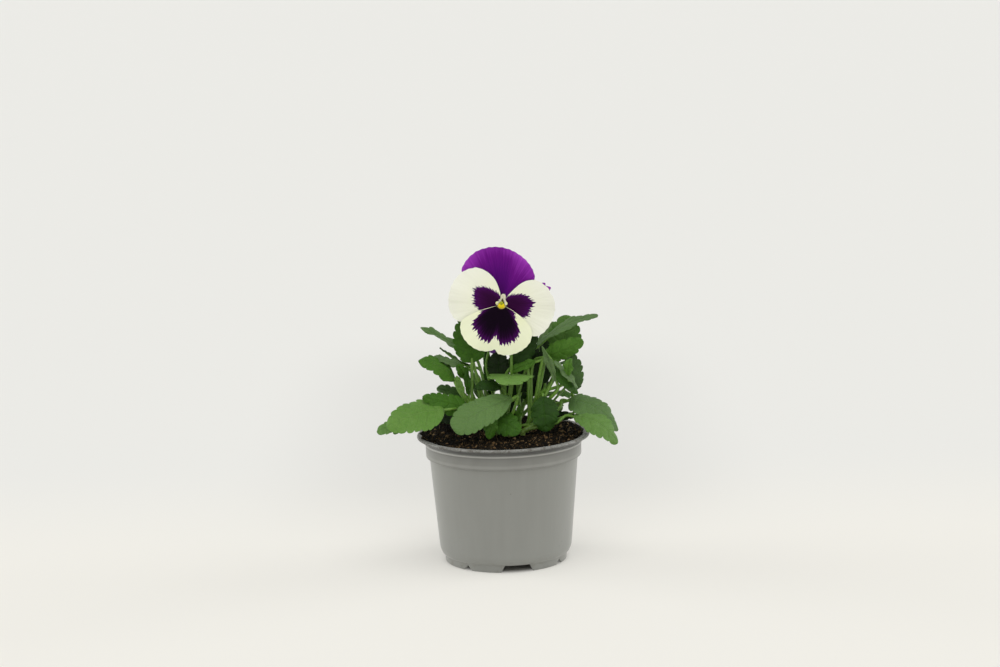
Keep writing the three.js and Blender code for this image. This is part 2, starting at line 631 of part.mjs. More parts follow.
function budSolid() {
  const length = vector(BUD_TOP).distanceTo(vector(BUD_TIP));
  const outline = [
    [0, -length],
    [1, -length + 0.7],
    [2.5, -length * 0.72],
    [3, -length * 0.45],
    [2.2, -2],
    [0, -1.5],
  ];
  const bud = new THREE.LatheGeometry(outline.map(([r, h]) => new THREE.Vector2(r, h)), 12);
  bud.rotateX(Math.PI / 2);
  bud.applyMatrix4(budFrame());
  return solidOf(bud);
}

function budStalkSolid() {
  const frame = budFrame();
  const cap = new THREE.CylinderGeometry(1.2, 2.4, 1.6, 10);
  cap.rotateX(Math.PI / 2);
  cap.translate(0, 0, -0.4);
  const pieces = [solidOf(cap)];
  for (let i = 0; i < SEPALS; i += 1) {
    const turn = (i / SEPALS) * 2 * Math.PI + 0.3;
    pieces.push(budSepalSolid(turn));
  }
  const placed = pieces.map((piece) => piece.transform(frame.elements));
  const [x, y] = BUD_ROOT;
  const points = [
    ...buriedFoot(x, y),
    ...BUD_STALK_PATH.map(vector),
    new THREE.Vector3(0, 0, 2.5).applyMatrix4(frame),
    new THREE.Vector3(0, 0, -0.2).applyMatrix4(frame),
  ];
  placed.push(stalk(points, PETIOLE_RADIUS, 5, 14));
  return largestBody(wasm.Manifold.union(placed));
}

function budSepalSolid(turn) {
  const upper = [];
  const lower = [];
  const [cos, sin] = [Math.cos(turn), Math.sin(turn)];
  for (const [radius, drop, span] of [[1.6, 0.2, 0.7], [3.4, 2, 1.4], [4.1, 5.5, 1.3], [4.2, 9.5, 0.4]]) {
    const inner = [];
    const outer = [];
    for (const across of [-1, 0, 1]) {
      const aside = across * span;
      const at = (r) => new THREE.Vector3(r * cos - aside * sin, r * sin + aside * cos, -drop);
      outer.push(at(radius + BLADE / 2));
      inner.push(at(radius - BLADE / 2));
    }
    upper.push(outer);
    lower.push(inner);
  }
  return sheetSolid(upper, lower);
}

const flower = new THREE.Group();
flower.position.set(...FLOWER_CENTRE);
flower.rotation.set(Math.PI / 2 - radians(FLOWER_TILT), radians(FLOWER_TURN), 0);
flower.updateMatrix();
for (const [name, petal] of Object.entries(PETALS)) {
  flower.add(meshOf(name, petalSolid(petal), petal.layer > 1 ? PETAL_PURPLE : PETAL_WHITE));
}
flower.add(meshOf('flower_eye', eyeSolid(), EYE_YELLOW));

const plant = new THREE.Group();
plant.add(meshOf('pot', potSolid(), POT_GREY));
const holeFor = ([x, y], radius) => ({ x, y, radius: radius + SEAT_GAP });
const roots = Object.values(STEMS).map((stem) => holeFor(stem.root, STEM_RADIUS));
roots.push(holeFor(FLOWER_ROOT, FLOWER_STALK_RADIUS));
roots.push(holeFor(BUD_ROOT, PETIOLE_RADIUS));
plant.add(meshOf('soil', soilSolid(roots), SOIL_BROWN));
for (const [name, stem] of Object.entries(STEMS)) {
  plant.add(meshOf(name, leafyStem(stem), LEAF_GREEN));
}
plant.add(meshOf('flower_stalk', flowerStalkSolid(flower.matrix), STALK_GREEN));
plant.add(meshOf('bud_stalk', budStalkSolid(), STALK_GREEN));
plant.add(meshOf('bud', budSolid(), PETAL_PURPLE));
plant.add(flower);

// The origin is under the middle of the plant's outline, on the surface it stands on
const middle = new THREE.Box3().setFromObject(plant, true).getCenter(new THREE.Vector3());
plant.position.set(-middle.x, -middle.y, 0);

export default plant;
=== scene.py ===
import math

import bpy
import numpy as np
from mathutils import Euler, Matrix, Vector, noise


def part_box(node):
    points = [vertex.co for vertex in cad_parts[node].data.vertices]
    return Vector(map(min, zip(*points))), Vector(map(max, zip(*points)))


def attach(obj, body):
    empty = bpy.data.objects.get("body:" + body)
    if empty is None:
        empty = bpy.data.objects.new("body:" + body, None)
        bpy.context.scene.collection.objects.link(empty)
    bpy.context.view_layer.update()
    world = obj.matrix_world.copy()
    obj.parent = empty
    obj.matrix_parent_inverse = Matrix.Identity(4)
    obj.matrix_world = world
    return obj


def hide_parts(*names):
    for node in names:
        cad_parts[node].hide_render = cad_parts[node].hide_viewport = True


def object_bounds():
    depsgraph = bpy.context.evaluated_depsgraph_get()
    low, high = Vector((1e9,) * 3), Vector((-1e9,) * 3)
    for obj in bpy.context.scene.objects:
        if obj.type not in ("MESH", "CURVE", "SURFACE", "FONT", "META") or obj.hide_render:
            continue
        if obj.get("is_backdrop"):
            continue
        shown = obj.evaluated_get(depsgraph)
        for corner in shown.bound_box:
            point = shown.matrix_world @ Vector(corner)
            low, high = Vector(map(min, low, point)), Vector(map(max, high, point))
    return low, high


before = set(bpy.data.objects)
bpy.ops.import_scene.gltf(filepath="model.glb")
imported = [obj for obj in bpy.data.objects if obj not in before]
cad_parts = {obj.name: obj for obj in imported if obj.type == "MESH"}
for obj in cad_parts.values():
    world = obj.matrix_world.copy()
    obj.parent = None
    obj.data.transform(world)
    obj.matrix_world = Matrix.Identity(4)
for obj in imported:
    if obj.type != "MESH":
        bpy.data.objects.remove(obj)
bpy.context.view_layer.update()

# Pot
# A round 10.5 cm grower's pot, moulded in one shot from grey polypropylene with a satin skin. Its
# thin wall tapers to a notched foot ring, and a flared lip and a collar stiffen the top.
pot_low, pot_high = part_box("pot")
POT_AXIS = np.array(((pot_low.x + pot_high.x) / 2, (pot_low.y + pot_high.y) / 2, 0))
MM = 0.001
POT_CREASE = 32
# The foot ring: its height, its radius and how far it is turned from the front
FOOT_TOP = 4.4
FOOT_RADIUS = 37.0
FOOT_TURN = 10.5
# The drain holes through the raised floor: how many, how far out and their radius
DRAIN_HOLES = 5
DRAIN_CIRCLE = 27
DRAIN_RADIUS = 3
# Each corner of the wall's section: radius, height and how far it is rounded, from the inside of
# the floor over the lip to the underside of the floor
POT_SECTION = [
    (37.0, 6.0, 1.6), (38.8, 8.5, 1.5), (43.7, 63.8, 1.0), (45.8, 66.0, 0.8), (45.8, 76.5, 0.6),
    (48.9, 77.9, 0.8), (51.8, 78.3, 0.7), (52.5, 77.4, 0.5), (52.4, 76.7, 0.3), (51.9, 76.45, 0.3),
    (47.25, 76.1, 0.4), (47.2, 74.0, 0.3), (47.9, 73.3, 0.4), (47.9, 72.7, 0.4), (47.35, 72.0, 0.4),
    (47.2, 65.5, 0.4), (47.1, 64.9, 0.3), (45.1, 64.4, 0.4), (40.2, 8.5, 1.2), (38.9, 5.3, 0.8),
    (37.6, 4.6, 0.25), (37.3, 4.1, 0.2), (36.9, 0.0, 0.35), (35.5, 0.0, 0.3), (34.9, 4.4, 0.3),
]
# Half width of a notch at the ground and at its top, its height, and its turn from the wide one
FOOT_NOTCHES = [
    (9.9, 7.6, 4.36, 0), (9.9, 7.6, 4.36, 180), (3.2, 0.0, 3.2, 49.5), (3.2, 0.0, 3.2, -49.5),
    (3.2, 0.0, 3.2, 229.5), (3.2, 0.0, 3.2, 130.5),
]


def rounded(corners):
    """An outline whose corners are swapped for short arcs of four steps."""
    outline = []
    for i, (radius, height, reach) in enumerate(corners):
        here = np.array((radius, height))
        before = np.array(corners[i - 1][:2]) if i else np.array((0, height))
        after = np.array(corners[i + 1][:2]) if i + 1 < len(corners) else np.array((0, height))
        ways = [(way, np.linalg.norm(way)) for way in (before - here, after - here)]
        start, end = (here + way / far * min(reach, far * 0.45) for way, far in ways)
        for share in np.linspace(0, 1, 5):
            outline.append((1 - share) ** 2 * start + 2 * share * (1 - share) * here + share**2 * end)
    return outline


def circle(radius, height, steps, x=0.0, y=0.0):
    """Points spaced evenly round a level circle."""
    turns = np.arange(steps) * 2 * math.pi / steps
    return [(x + radius * math.cos(turn), y + radius * math.sin(turn), height) for turn in turns]


def turned_faces(rings, steps):
    """Faces of a closed body whose points run from one pole, ring after ring, to the other."""
    faces = []
    last = 1 + (rings - 1) * steps
    for step in range(steps):
        after = (step + 1) % steps
        faces.append((0, 1 + step, 1 + after))
        for ring in range(rings - 1):
            a, b = 1 + ring * steps, 1 + (ring + 1) * steps
            faces.append((a + step, b + step, b + after, a + after))
        faces.append((last + steps, last + after, last + step))
    return faces


def facing_outwards(points, faces):
    """The faces of a closed skin, turned round if they enclose less than nothing."""
    fans = np.array([(f[0], f[i], f[i + 1]) for f in faces for i in range(1, len(f) - 1)])
    a, b, c = (points[fans[:, i]] for i in range(3))
    if np.einsum("ij,ij->i", a, np.cross(b, c)).sum() < 0:
        return [tuple(reversed(f)) for f in faces]
    return faces


def bare_mesh(name, points, edges, faces, marks=None):
    """A mesh in metres, each of its points carrying a value under each mark's word."""
    mesh = bpy.data.meshes.new(name)
    mesh.from_pydata(np.asarray(points, float).tolist(), edges, faces)
    for word, values in (marks or {}).items():
        mesh.attributes.new(word, "FLOAT", "POINT").data.foreach_set("value", np.ravel(values))
    return mesh


def set_out(name, data):
    """A new object in the scene, of a mesh, a lamp or a lens."""
    made = bpy.data.objects.new(name, data)
    bpy.context.scene.collection.objects.link(made)
    return made


def finished(name, material, crease, points, faces, marks=None):
    """An object at the origin, its points given in millimetres from the pot's axis."""
    points = np.asarray(points, float)
    mesh = bare_mesh(name, points * MM + POT_AXIS, [], facing_outwards(points, faces), marks)
    mesh.materials.append(material)
    mesh.shade_smooth()
    mesh.set_sharp_from_angle(angle=math.radians(crease))
    return set_out(name, mesh)


class Plug:
    """One output of a node. Sums written with it add their own Math nodes."""

    def __init__(self, tree, socket):
        self.tree = tree
        self.socket = socket

    def node(self, kind, settings, plugs, out=0):
        """Adds a node: its settings first, then the values or links of its inputs."""
        made = self.tree.nodes.new(kind)
        for word, value in settings.items():
            if word == "stops":
                while len(made.color_ramp.elements) < len(value):
                    made.color_ramp.elements.new(1.0)
                for element, (place, colour) in zip(made.color_ramp.elements, value):
                    element.position = place
                    element.color = (*colour, 1) if hasattr(colour, "__len__") else (colour,) * 3 + (1,)
            else:
                setattr(made, word, value)
        for word, value in plugs.items():
            if isinstance(value, Plug):
                self.tree.links.new(value.socket, made.inputs[word])
            else:
                made.inputs[word].default_value = value
        return Plug(self.tree, made.outputs[out])

    def maths(self, operation, *others):
        return self.node("ShaderNodeMath", {"operation": operation}, dict(enumerate((self, *others))))

    def __add__(self, other):
        return self.maths("ADD", other)

    __radd__ = __add__

    def __sub__(self, other):
        return self.maths("SUBTRACT", other)

    def __rsub__(self, other):
        return self.maths("MULTIPLY_ADD", -1.0, other)

    def __mul__(self, other):
        return self.maths("MULTIPLY", other)

    __rmul__ = __mul__

    def __truediv__(self, other):
        return self.maths("DIVIDE", other)

    def __pow__(self, other):
        return self.maths("POWER", other)

    def __abs__(self):
        return self.maths("ABSOLUTE")

    def saw(self):
        """Runs from 0 to 1 and back to 0 over each whole number."""
        return 1 - abs(self.maths("FRACT") * 2 - 1)

    def ease(self, low, high, start=0.0, end=1.0):
        """A soft step from start to end as this value goes from low to high."""
        settings = {"interpolation_type": "SMOOTHSTEP"}
        return self.node("ShaderNodeMapRange", settings, {0: self, 1: low, 2: high, 3: start, 4: end})

    def ramp(self, stops):
        return self.node("ShaderNodeValToRGB", {"stops": stops}, {0: self})

    def mix(self, first, second):
        """The first colour where this is 0, the second where it is 1."""
        return self.node("ShaderNodeMix", {"data_type": "RGBA"}, {0: self, 6: first, 7: second}, out=2)

    def dyed(self, colour):
        """This colour multiplied by another."""
        settings = {"data_type": "RGBA", "blend_type": "MULTIPLY"}
        return self.node("ShaderNodeMix", settings, {0: 1.0, 6: self, 7: colour}, out=2)

    def grain(self, scale, detail=2.0, roughness=0.5, distortion=0.0):
        """Cloudy noise over these coordinates; scale is in spots a metre."""
        plugs = {"Vector": self, "Scale": scale, "Detail": detail, "Roughness": roughness}
        return self.node("ShaderNodeTexNoise", {}, plugs | {"Distortion": distortion})

    def stretched(self, scale):
        return self.node("ShaderNodeMapping", {}, {"Vector": self, "Scale": scale})


class Finish:
    """A material being made up: where its pattern is read from and what its surface is given."""

    def __init__(self, name, **constants):
        self.material = bpy.data.materials.new(name)
        self.material.use_nodes = True
        tree = self.material.node_tree
        self.surface = tree.nodes["Principled BSDF"]
        for word, value in constants.items():
            self.surface.inputs[word.replace("_", " ")].default_value = value
        self.place = Plug(tree, tree.nodes.new("ShaderNodeTexCoord").outputs["Object"])

    def mark(self, word):
        """The value that each point of the mesh carries under that word."""
        return self.place.node("ShaderNodeAttribute", {"attribute_name": word}, {}, out="Fac")

    def give(self, word, plug):
        self.place.tree.links.new(plug.socket, self.surface.inputs[word])

    def bumps(self, height, distance):
        self.give("Normal", height.node("ShaderNodeBump", {}, {"Height": height, "Distance": distance}))


def axis_of(place, out):
    """One coordinate of a place: 0 for across, 1 for along and 2 for height."""
    return place.node("ShaderNodeSeparateXYZ", {}, {0: place}, out)


def pot_plastic():
    """Satin grey plastic with faint flow streaks, soiled at the lip and the foot, with painted shade on the
    collar, the lip and the grooves and painted highlights on the bead and the shoulder.
    """
    finish = Finish("pot_plastic", Specular_IOR_Level=0.6, Sheen_Weight=0.3, Sheen_Roughness=0.3)
    place = finish.place
    height = axis_of(place, 2)
    clouds = place.grain(18, 3)
    streaks = place.stretched((1, 1, 0.12)).grain(160, 3)
    rubbed = place.grain(260, 4, 0.65)
    grey = (clouds * 0.6 + streaks * 0.4).ramp([(0.3, (0.222, 0.226, 0.209)), (0.7, (0.252, 0.257, 0.238))])
    # Wet peat was brushed off the lip and left a brown film with paler rubbed patches
    on_lip = height.ease(0.0759, 0.0767)
    film = on_lip * place.grain(420, 4, 0.7, 1.2).ease(0.44, 0.62)
    # Painted shade darkens the collar and the lip in random patches, where the lip and the leaves above
    # shade them
    rim = height.ease(0.0635, 0.066) * (0.2 + place.grain(90, 3).ease(0.4, 0.7) * 0.12)
    collar_shaded = rim.mix(grey, (0.11, 0.105, 0.092, 1))
    dusty = (film * 0.8).mix(collar_shaded, (0.085, 0.070, 0.052, 1))
    pale = on_lip * place.stretched((1, 1, 3)).grain(140, 3, 0.6).ease(0.52, 0.72) * 0.3
    lip = pale.mix(dusty, (0.42, 0.42, 0.40, 1))
    # Splashes dried on the foot ring and stray specks on the wall
    low = height.ease(0.012, 0.001) * place.grain(300, 4, 0.7).ease(0.52, 0.72) * 0.5
    splashed = low.mix(lip, (0.155, 0.14, 0.108, 1))
    specks = place.node("ShaderNodeTexVoronoi", {}, {"Vector": place, "Scale": 210.0}, "Distance")
    speck = specks.ease(0.075, 0.035) * place.grain(34, 1).ease(0.6, 0.66) * 0.6
    # Painted shade in the groove under the lip, below the bead and in the corner under the collar, and
    # painted highlights on the bead and on the collar's rounded shoulder
    groove_shade = ((height - 0.060) / 0.018).ramp([
        (0.20, 1.0), (0.26, 0.84), (0.29, 0.9), (0.33, 1.0), (0.38, 1.0), (0.52, 0.95), (0.62, 0.86),
        (0.67, 0.72), (0.70, 1.0), (0.76, 1.0), (0.79, 0.5), (0.83, 0.34), (0.91, 0.34), (0.95, 0.7),
        (0.98, 1.0),
    ])
    bead_highlight = height.ease(0.0724, 0.0728) * height.ease(0.0740, 0.0735)
    shoulder_highlight = height.ease(0.0654, 0.0660) * height.ease(0.0680, 0.0668)
    specked = speck.mix(splashed, (0.05, 0.035, 0.022, 1))
    highlighted = ((bead_highlight + shoulder_highlight * 0.25) * 0.6).mix(specked, (0.46, 0.46, 0.43, 1))
    finish.give("Base Color", highlighted.dyed(groove_shade))
    finish.give("Roughness", 0.3 + clouds * 0.1 + rubbed * 0.08 + film * 0.3)
    finish.bumps(place.grain(900, 2) * 0.6 + film * 1.2 + streaks * 0.5, 0.00006)
    return finish.material


def notch_height(turn):
    """How high the foot ring is cut away at a turn from the front, in degrees."""
    height = 0
    for wide, narrow, top, place in FOOT_NOTCHES:
        off = math.radians(turn - FOOT_TURN - place)
        aside = FOOT_RADIUS * abs(math.sin(off))
        if math.cos(off) > 0 and aside < wide:
            height = max(height, top * min(1, (wide - aside) / (wide - narrow)))
    return height


turns = list(np.arange(0, 360, 2.5))
for wide, narrow, top, place in FOOT_NOTCHES:
    for aside in (-wide, -narrow, narrow, wide):
        turns.append((FOOT_TURN + place + math.degrees(math.asin(aside / FOOT_RADIUS))) % 360)
turns = sorted(set(round(turn, 3) for turn in turns))
turns = [turn for turn, after in zip(turns, turns[1:] + [360]) if after - turn > 0.3]
section = rounded(POT_SECTION)
pot_points = [(0, 0, POT_SECTION[0][1])]
for i, (radius, height) in enumerate(section):
    in_foot = height < FOOT_TOP and i > len(section) / 2
    for turn in turns:
        lift = notch_height(turn) * (1 - height / FOOT_TOP) if in_foot else 0
        out = math.radians(turn)
        pot_points.append((radius * math.sin(out), -radius * math.cos(out), height + lift))
pot_points.append((0, 0, FOOT_TOP))
pot_faces = turned_faces(len(section), len(turns))
pot = finished("grower_pot", pot_plastic(), POT_CREASE, pot_points, pot_faces)
drill_points, drill_faces = [], []
for x, y, _ in circle(DRAIN_CIRCLE, 0, DRAIN_HOLES):
    drill_faces += [tuple(len(drill_points) + k for k in face) for face in turned_faces(2, 24)]
    drill_points.append((x, y, 2.0))
    drill_points += circle(DRAIN_RADIUS, 2.0, 24, x, y) + circle(DRAIN_RADIUS, 8.0, 24, x, y)
    drill_points.append((x, y, 8.0))
drill = finished("drain_drill", pot.data.materials[0], POT_CREASE, drill_points, drill_faces)


def plain_mesh(thing):
    """The object's evaluated mesh, with every modifier applied and taken off."""
    graph = bpy.context.evaluated_depsgraph_get()
    seen = thing.evaluated_get(graph)
    mesh = bpy.data.meshes.new_from_object(seen, preserve_all_data_layers=True, depsgraph=graph)
    thing.modifiers.clear()
    return mesh


drilled = pot.modifiers.new("drain holes", "BOOLEAN")
drilled.operation = "DIFFERENCE"
drilled.object = drill
pot.data = plain_mesh(pot)
pot.data.set_sharp_from_angle(angle=math.radians(POT_CREASE))
bpy.data.objects.remove(drill)
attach(pot, "root")
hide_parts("pot")

# Potting soil
# Moist dark peat, pressed up to the inside of the lip: a lumpy bed with loose crumbs, a little
# red-brown bark and pale root fibres lying on top, which also cling to the lip.
# The buried part of the bed, down along the pot's wall: radius and height
SOIL_SECTION = [(45.4, 76.4), (45.4, 65.8), (43.3, 63.8), (38.4, 8.8), (36.6, 6.4)]
BED_RADIUS = 47.9
BED_LEVEL = 77.4
BED_RINGS = 56
BED_STEPS = 150


def soil_height(across, along):
    """The lumpy top of the bed at a place on it, in millimetres."""
    share = np.hypot(across, along) / BED_RADIUS
    turn = math.atan2(along, across)
    middle = 1.4 * (1 - share**2) * (1 + 0.5 * math.sin(turn - 0.6))
    rise = BED_LEVEL + middle + 6 * max(0, share - 0.9)
    lumps = noise.fractal(Vector((across / 7, along / 7, 3)), 0.8, 2.1, 5)
    return rise + 0.85 * lumps * (1 - 0.9 * min(1, share) ** 4)


def soil_edge(turn):
    """How far from the axis the peat lies over the lip, in millimetres."""
    stray = noise.fractal(Vector((6 * math.cos(turn), 6 * math.sin(turn), 9)), 0.7, 2.1, 4)
    return 49.6 + 1.1 * stray - 0.8 * math.cos(turn) + 0.5 * math.sin(turn)


def peat():
    """Dark moist peat, with hollows and with patches where tan crumbs and fibres gather."""
    finish = Finish("peat", Specular_IOR_Level=0.1)
    place = finish.place
    tone = finish.mark("tone")
    blotch = place.grain(700, 4, 0.7)
    fine = place.grain(2600, 3, 0.7)
    patches = place.grain(110, 3, 0.6)
    mixed = tone * 0.58 + blotch * 0.28 + fine * 0.1 + (patches - 0.5) * 0.55
    finish.give("Base Color", mixed.ramp([
        (0.15, (0.0018, 0.0016, 0.0010)), (0.44, (0.007, 0.005, 0.0028)), (0.58, (0.031, 0.020, 0.008)),
        (0.70, (0.104, 0.060, 0.024)), (0.84, (0.27, 0.185, 0.095)),
    ]))
    finish.give("Roughness", 0.62 + fine * 0.35)
    finish.bumps(blotch * 0.7 + fine * 0.5, 0.0005)
    return finish.material


PEAT = peat()
bed_points = [(0, 0, soil_height(0, 0))]
for ring in range(1, BED_RINGS + 1):
    for step in range(BED_STEPS):
        turn = step * 2 * math.pi / BED_STEPS
        radius = soil_edge(turn) * (ring / BED_RINGS) ** 0.8
        x, y = radius * math.cos(turn), radius * math.sin(turn)
        # The last ring lies on the lip's inner slope
        bed_points.append((x, y, soil_height(x, y) if ring < BED_RINGS else 77.95 + 0.14 * (radius - 48.9)))
for radius, height in SOIL_SECTION:
    bed_points += circle(radius, height, BED_STEPS)
bed_points.append((0, 0, SOIL_SECTION[-1][1]))
bed_faces = turned_faces(BED_RINGS + len(SOIL_SECTION), BED_STEPS)
bed_tone = [0.25 + 0.5 * noise.noise(Vector(p) / 2.2) for p in bed_points]
soil = finished("potting_soil", PEAT, 180, bed_points, bed_faces, {"tone": bed_tone})


def recipe(name, sockets):
    """A new geometry node tree with those named inputs, and its first output plug for each."""
    tree = bpy.data.node_groups.new(name, "GeometryNodeTree")
    tree.interface.new_socket("Geometry", in_out="OUTPUT", socket_type="NodeSocketGeometry")
    for word, kind in sockets.items():
        tree.interface.new_socket(word, in_out="INPUT", socket_type="NodeSocket" + kind)
    start = tree.nodes.new("NodeGroupInput")
    return {word: Plug(tree, start.outputs[word]) for word in sockets}


def closed_with(geometry, material):
    """Ends a tree: instances made real, the material set, and the result sent out."""
    real = geometry.node("GeometryNodeRealizeInstances", {}, {0: geometry})
    painted = real.node("GeometryNodeSetMaterial", {}, {"Geometry": real, "Material": material})
    end = geometry.tree.nodes.new("NodeGroupOutput")
    geometry.tree.links.new(painted.socket, end.inputs[0])
    return geometry.tree


def grown(name, start, tree, values):
    """The plain mesh object that a node tree grows from another object."""
    modifier = start.modifiers.new(name, "NODES")
    modifier.node_group = tree
    for item in tree.interface.items_tree:
        if item.name in values:
            modifier[item.identifier] = values[item.name]
    mesh = plain_mesh(start)
    mesh.name = name
    return set_out(name, mesh)


def scatter_tree():
    """Strews one object over the level faces of another, turned and sized at random."""
    plugs = recipe("strewn", {
        "Geometry": "Geometry", "Crumb": "Object", "Density": "Float", "Smallest": "Float",
        "Largest": "Float", "Flatness": "Float", "Palest": "Float", "Seed": "Int", "Material": "Material",
    })
    bed = plugs["Geometry"]
    upwards = axis_of(bed.node("GeometryNodeInputNormal", {}, {}), 2).maths("GREATER_THAN", 0.4)
    inputs = {"Mesh": bed, "Selection": upwards, "Density": plugs["Density"], "Seed": plugs["Seed"]}
    points = bed.node("GeometryNodeDistributePointsOnFaces", {}, inputs)
    crumb = bed.node("GeometryNodeObjectInfo", {}, {"Object": plugs["Crumb"]}, "Geometry")
    spin_limits = {0: (0, 0, 0), 1: (6.283, 6.283, 6.283), "Seed": plugs["Seed"]}
    spin = bed.node("FunctionNodeRandomValue", {"data_type": "FLOAT_VECTOR"}, spin_limits)
    size_limits = {2: plugs["Smallest"], 3: plugs["Largest"], "Seed": plugs["Seed"]}
    size = bed.node("FunctionNodeRandomValue", {"data_type": "FLOAT"}, size_limits, out=1)
    squat = bed.node("ShaderNodeCombineXYZ", {}, {0: size, 1: size, 2: size * plugs["Flatness"]})
    inputs = {"Points": points, "Instance": crumb, "Rotation": spin, "Scale": squat}
    strewn = bed.node("GeometryNodeInstanceOnPoints", {}, inputs)
    tone_limits = {2: 0.0, 3: plugs["Palest"], "Seed": 11}
    tone = bed.node("FunctionNodeRandomValue", {"data_type": "FLOAT"}, tone_limits, out=1)
    settings = {"data_type": "FLOAT", "domain": "INSTANCE"}
    inputs = {"Geometry": strewn, "Name": "tone", "Value": tone}
    return closed_with(bed.node("GeometryNodeStoreNamedAttribute", settings, inputs), plugs["Material"])


def crumb_shape(seed):
    """A peat crumb: twelve corners of a lump, pushed in and out."""
    golden = (1 + 5**0.5) / 2
    corners = [(0, a, b * golden) for a in (-1, 1) for b in (-1, 1)]
    corners += [(a, b * golden, 0) for a in (-1, 1) for b in (-1, 1)]
    corners += [(b * golden, 0, a) for a in (-1, 1) for b in (-1, 1)]
    corners = np.array(corners) / math.hypot(1, golden)
    faces = []
    for i in range(12):
        for j in range(i):
            for k in range(j):
                sides = [np.linalg.norm(corners[a] - corners[b]) for a, b in ((i, j), (j, k), (k, i))]
                if max(sides) < 1.1:
                    out = np.dot(np.cross(corners[j] - corners[i], corners[k] - corners[i]), corners[i]) > 0
                    faces.append((i, j, k) if out else (i, k, j))
    pushed = [p * (0.75 + 0.45 * noise.noise(Vector(p * 1.3) + Vector((seed, 0, 0)))) for p in corners]
    return set_out("crumb", bare_mesh("crumb", np.array(pushed) * (1, 0.8, 0.7), [], faces))


def fibre_shape():
    """A root fibre: a bent three-sided thread, one unit long."""
    points = []
    for i in range(8):
        along = i / 7
        y, z = 0.14 * math.sin(along * 5), 0.06 * math.sin(along * 9)
        thick = 0.016 * (1 - 0.6 * abs(2 * along - 1))
        points += [(along - 0.5, y + thick * math.cos(t), z + thick * math.sin(t)) for t in (0, 2.1, 4.2)]
    faces = [(0, 2, 1), (21, 22, 23)]
    for i in range(7):
        faces += [(3 * i + j, 3 * i + (j + 1) % 3, 3 * i + 3 + (j + 1) % 3, 3 * i + 3 + j) for j in range(3)]
    return set_out("fibre", bare_mesh("fibre", points, [], faces))


STREWN = scatter_tree()
crumb = crumb_shape(3)
fibre = fibre_shape()
litter = []
for name, shape, density, low, high, flat, palest, seed in (
    ("bark_chips", crumb, 2.5e4, 0.0012, 0.0022, 0.45, 1.15, 4),
    ("coarse_crumbs", crumb, 1.5e5, 0.0007, 0.0015, 0.8, 1.0, 5),
    ("fine_crumbs", crumb, 6.5e5, 0.00025, 0.0007, 0.9, 0.75, 6),
    ("root_fibres", fibre, 4.5e4, 0.003, 0.008, 1.0, 1.45, 7),
):
    litter.append(grown(name, soil, STREWN, {
        "Crumb": shape, "Density": density, "Smallest": low, "Largest": high, "Flatness": flat,
        "Palest": palest, "Seed": seed, "Material": PEAT,
    }))


def joined(first, others):
    """Makes one object of several, under the first one's name."""
    both = [first, *others]
    chosen = dict(active_object=first, object=first, selected_objects=both, selected_editable_objects=both)
    with bpy.context.temp_override(**chosen):
        bpy.ops.object.join()
    return first


joined(soil, litter)
for shape in (crumb, fibre):
    bpy.data.objects.remove(shape)
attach(soil, "root")
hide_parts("soil")

# Leafy stems
# Eight soft green stems, each rooted in the soil, with leaves on channelled stalks.
# A blade is one thin sheet with rounded teeth, a sunken midrib and side veins that fade at its rim.
# How deep a tooth is cut at most, how far apart teeth and side veins are, and where a tooth is fullest
TOOTH_DEPTH = 1.45
TOOTH_PITCH = 4.2
VEIN_PITCH = 6.2
TOOTH_PEAK = 0.6


def leaf(base, tip, width, up, arch, fold, bend=None, shade=0.0, bloom=0.0, widest=0.45, ends=0.52):
    """One leaf: its blade's base, tip and width, the way it faces, how it arches and folds, where
    its stalk bends, how light its green is (partly its own tone, partly painted light and shade),
    how much painted grey sheen it has, where it is widest, and how slim its ends are."""
    base, tip, up = (np.array(point, float) for point in (base, tip, up))
    return dict(base=base, tip=tip, width=width, up=up, arch=arch, fold=math.radians(fold), bend=bend,
                shade=shade, bloom=bloom, widest=widest, ends=ends)


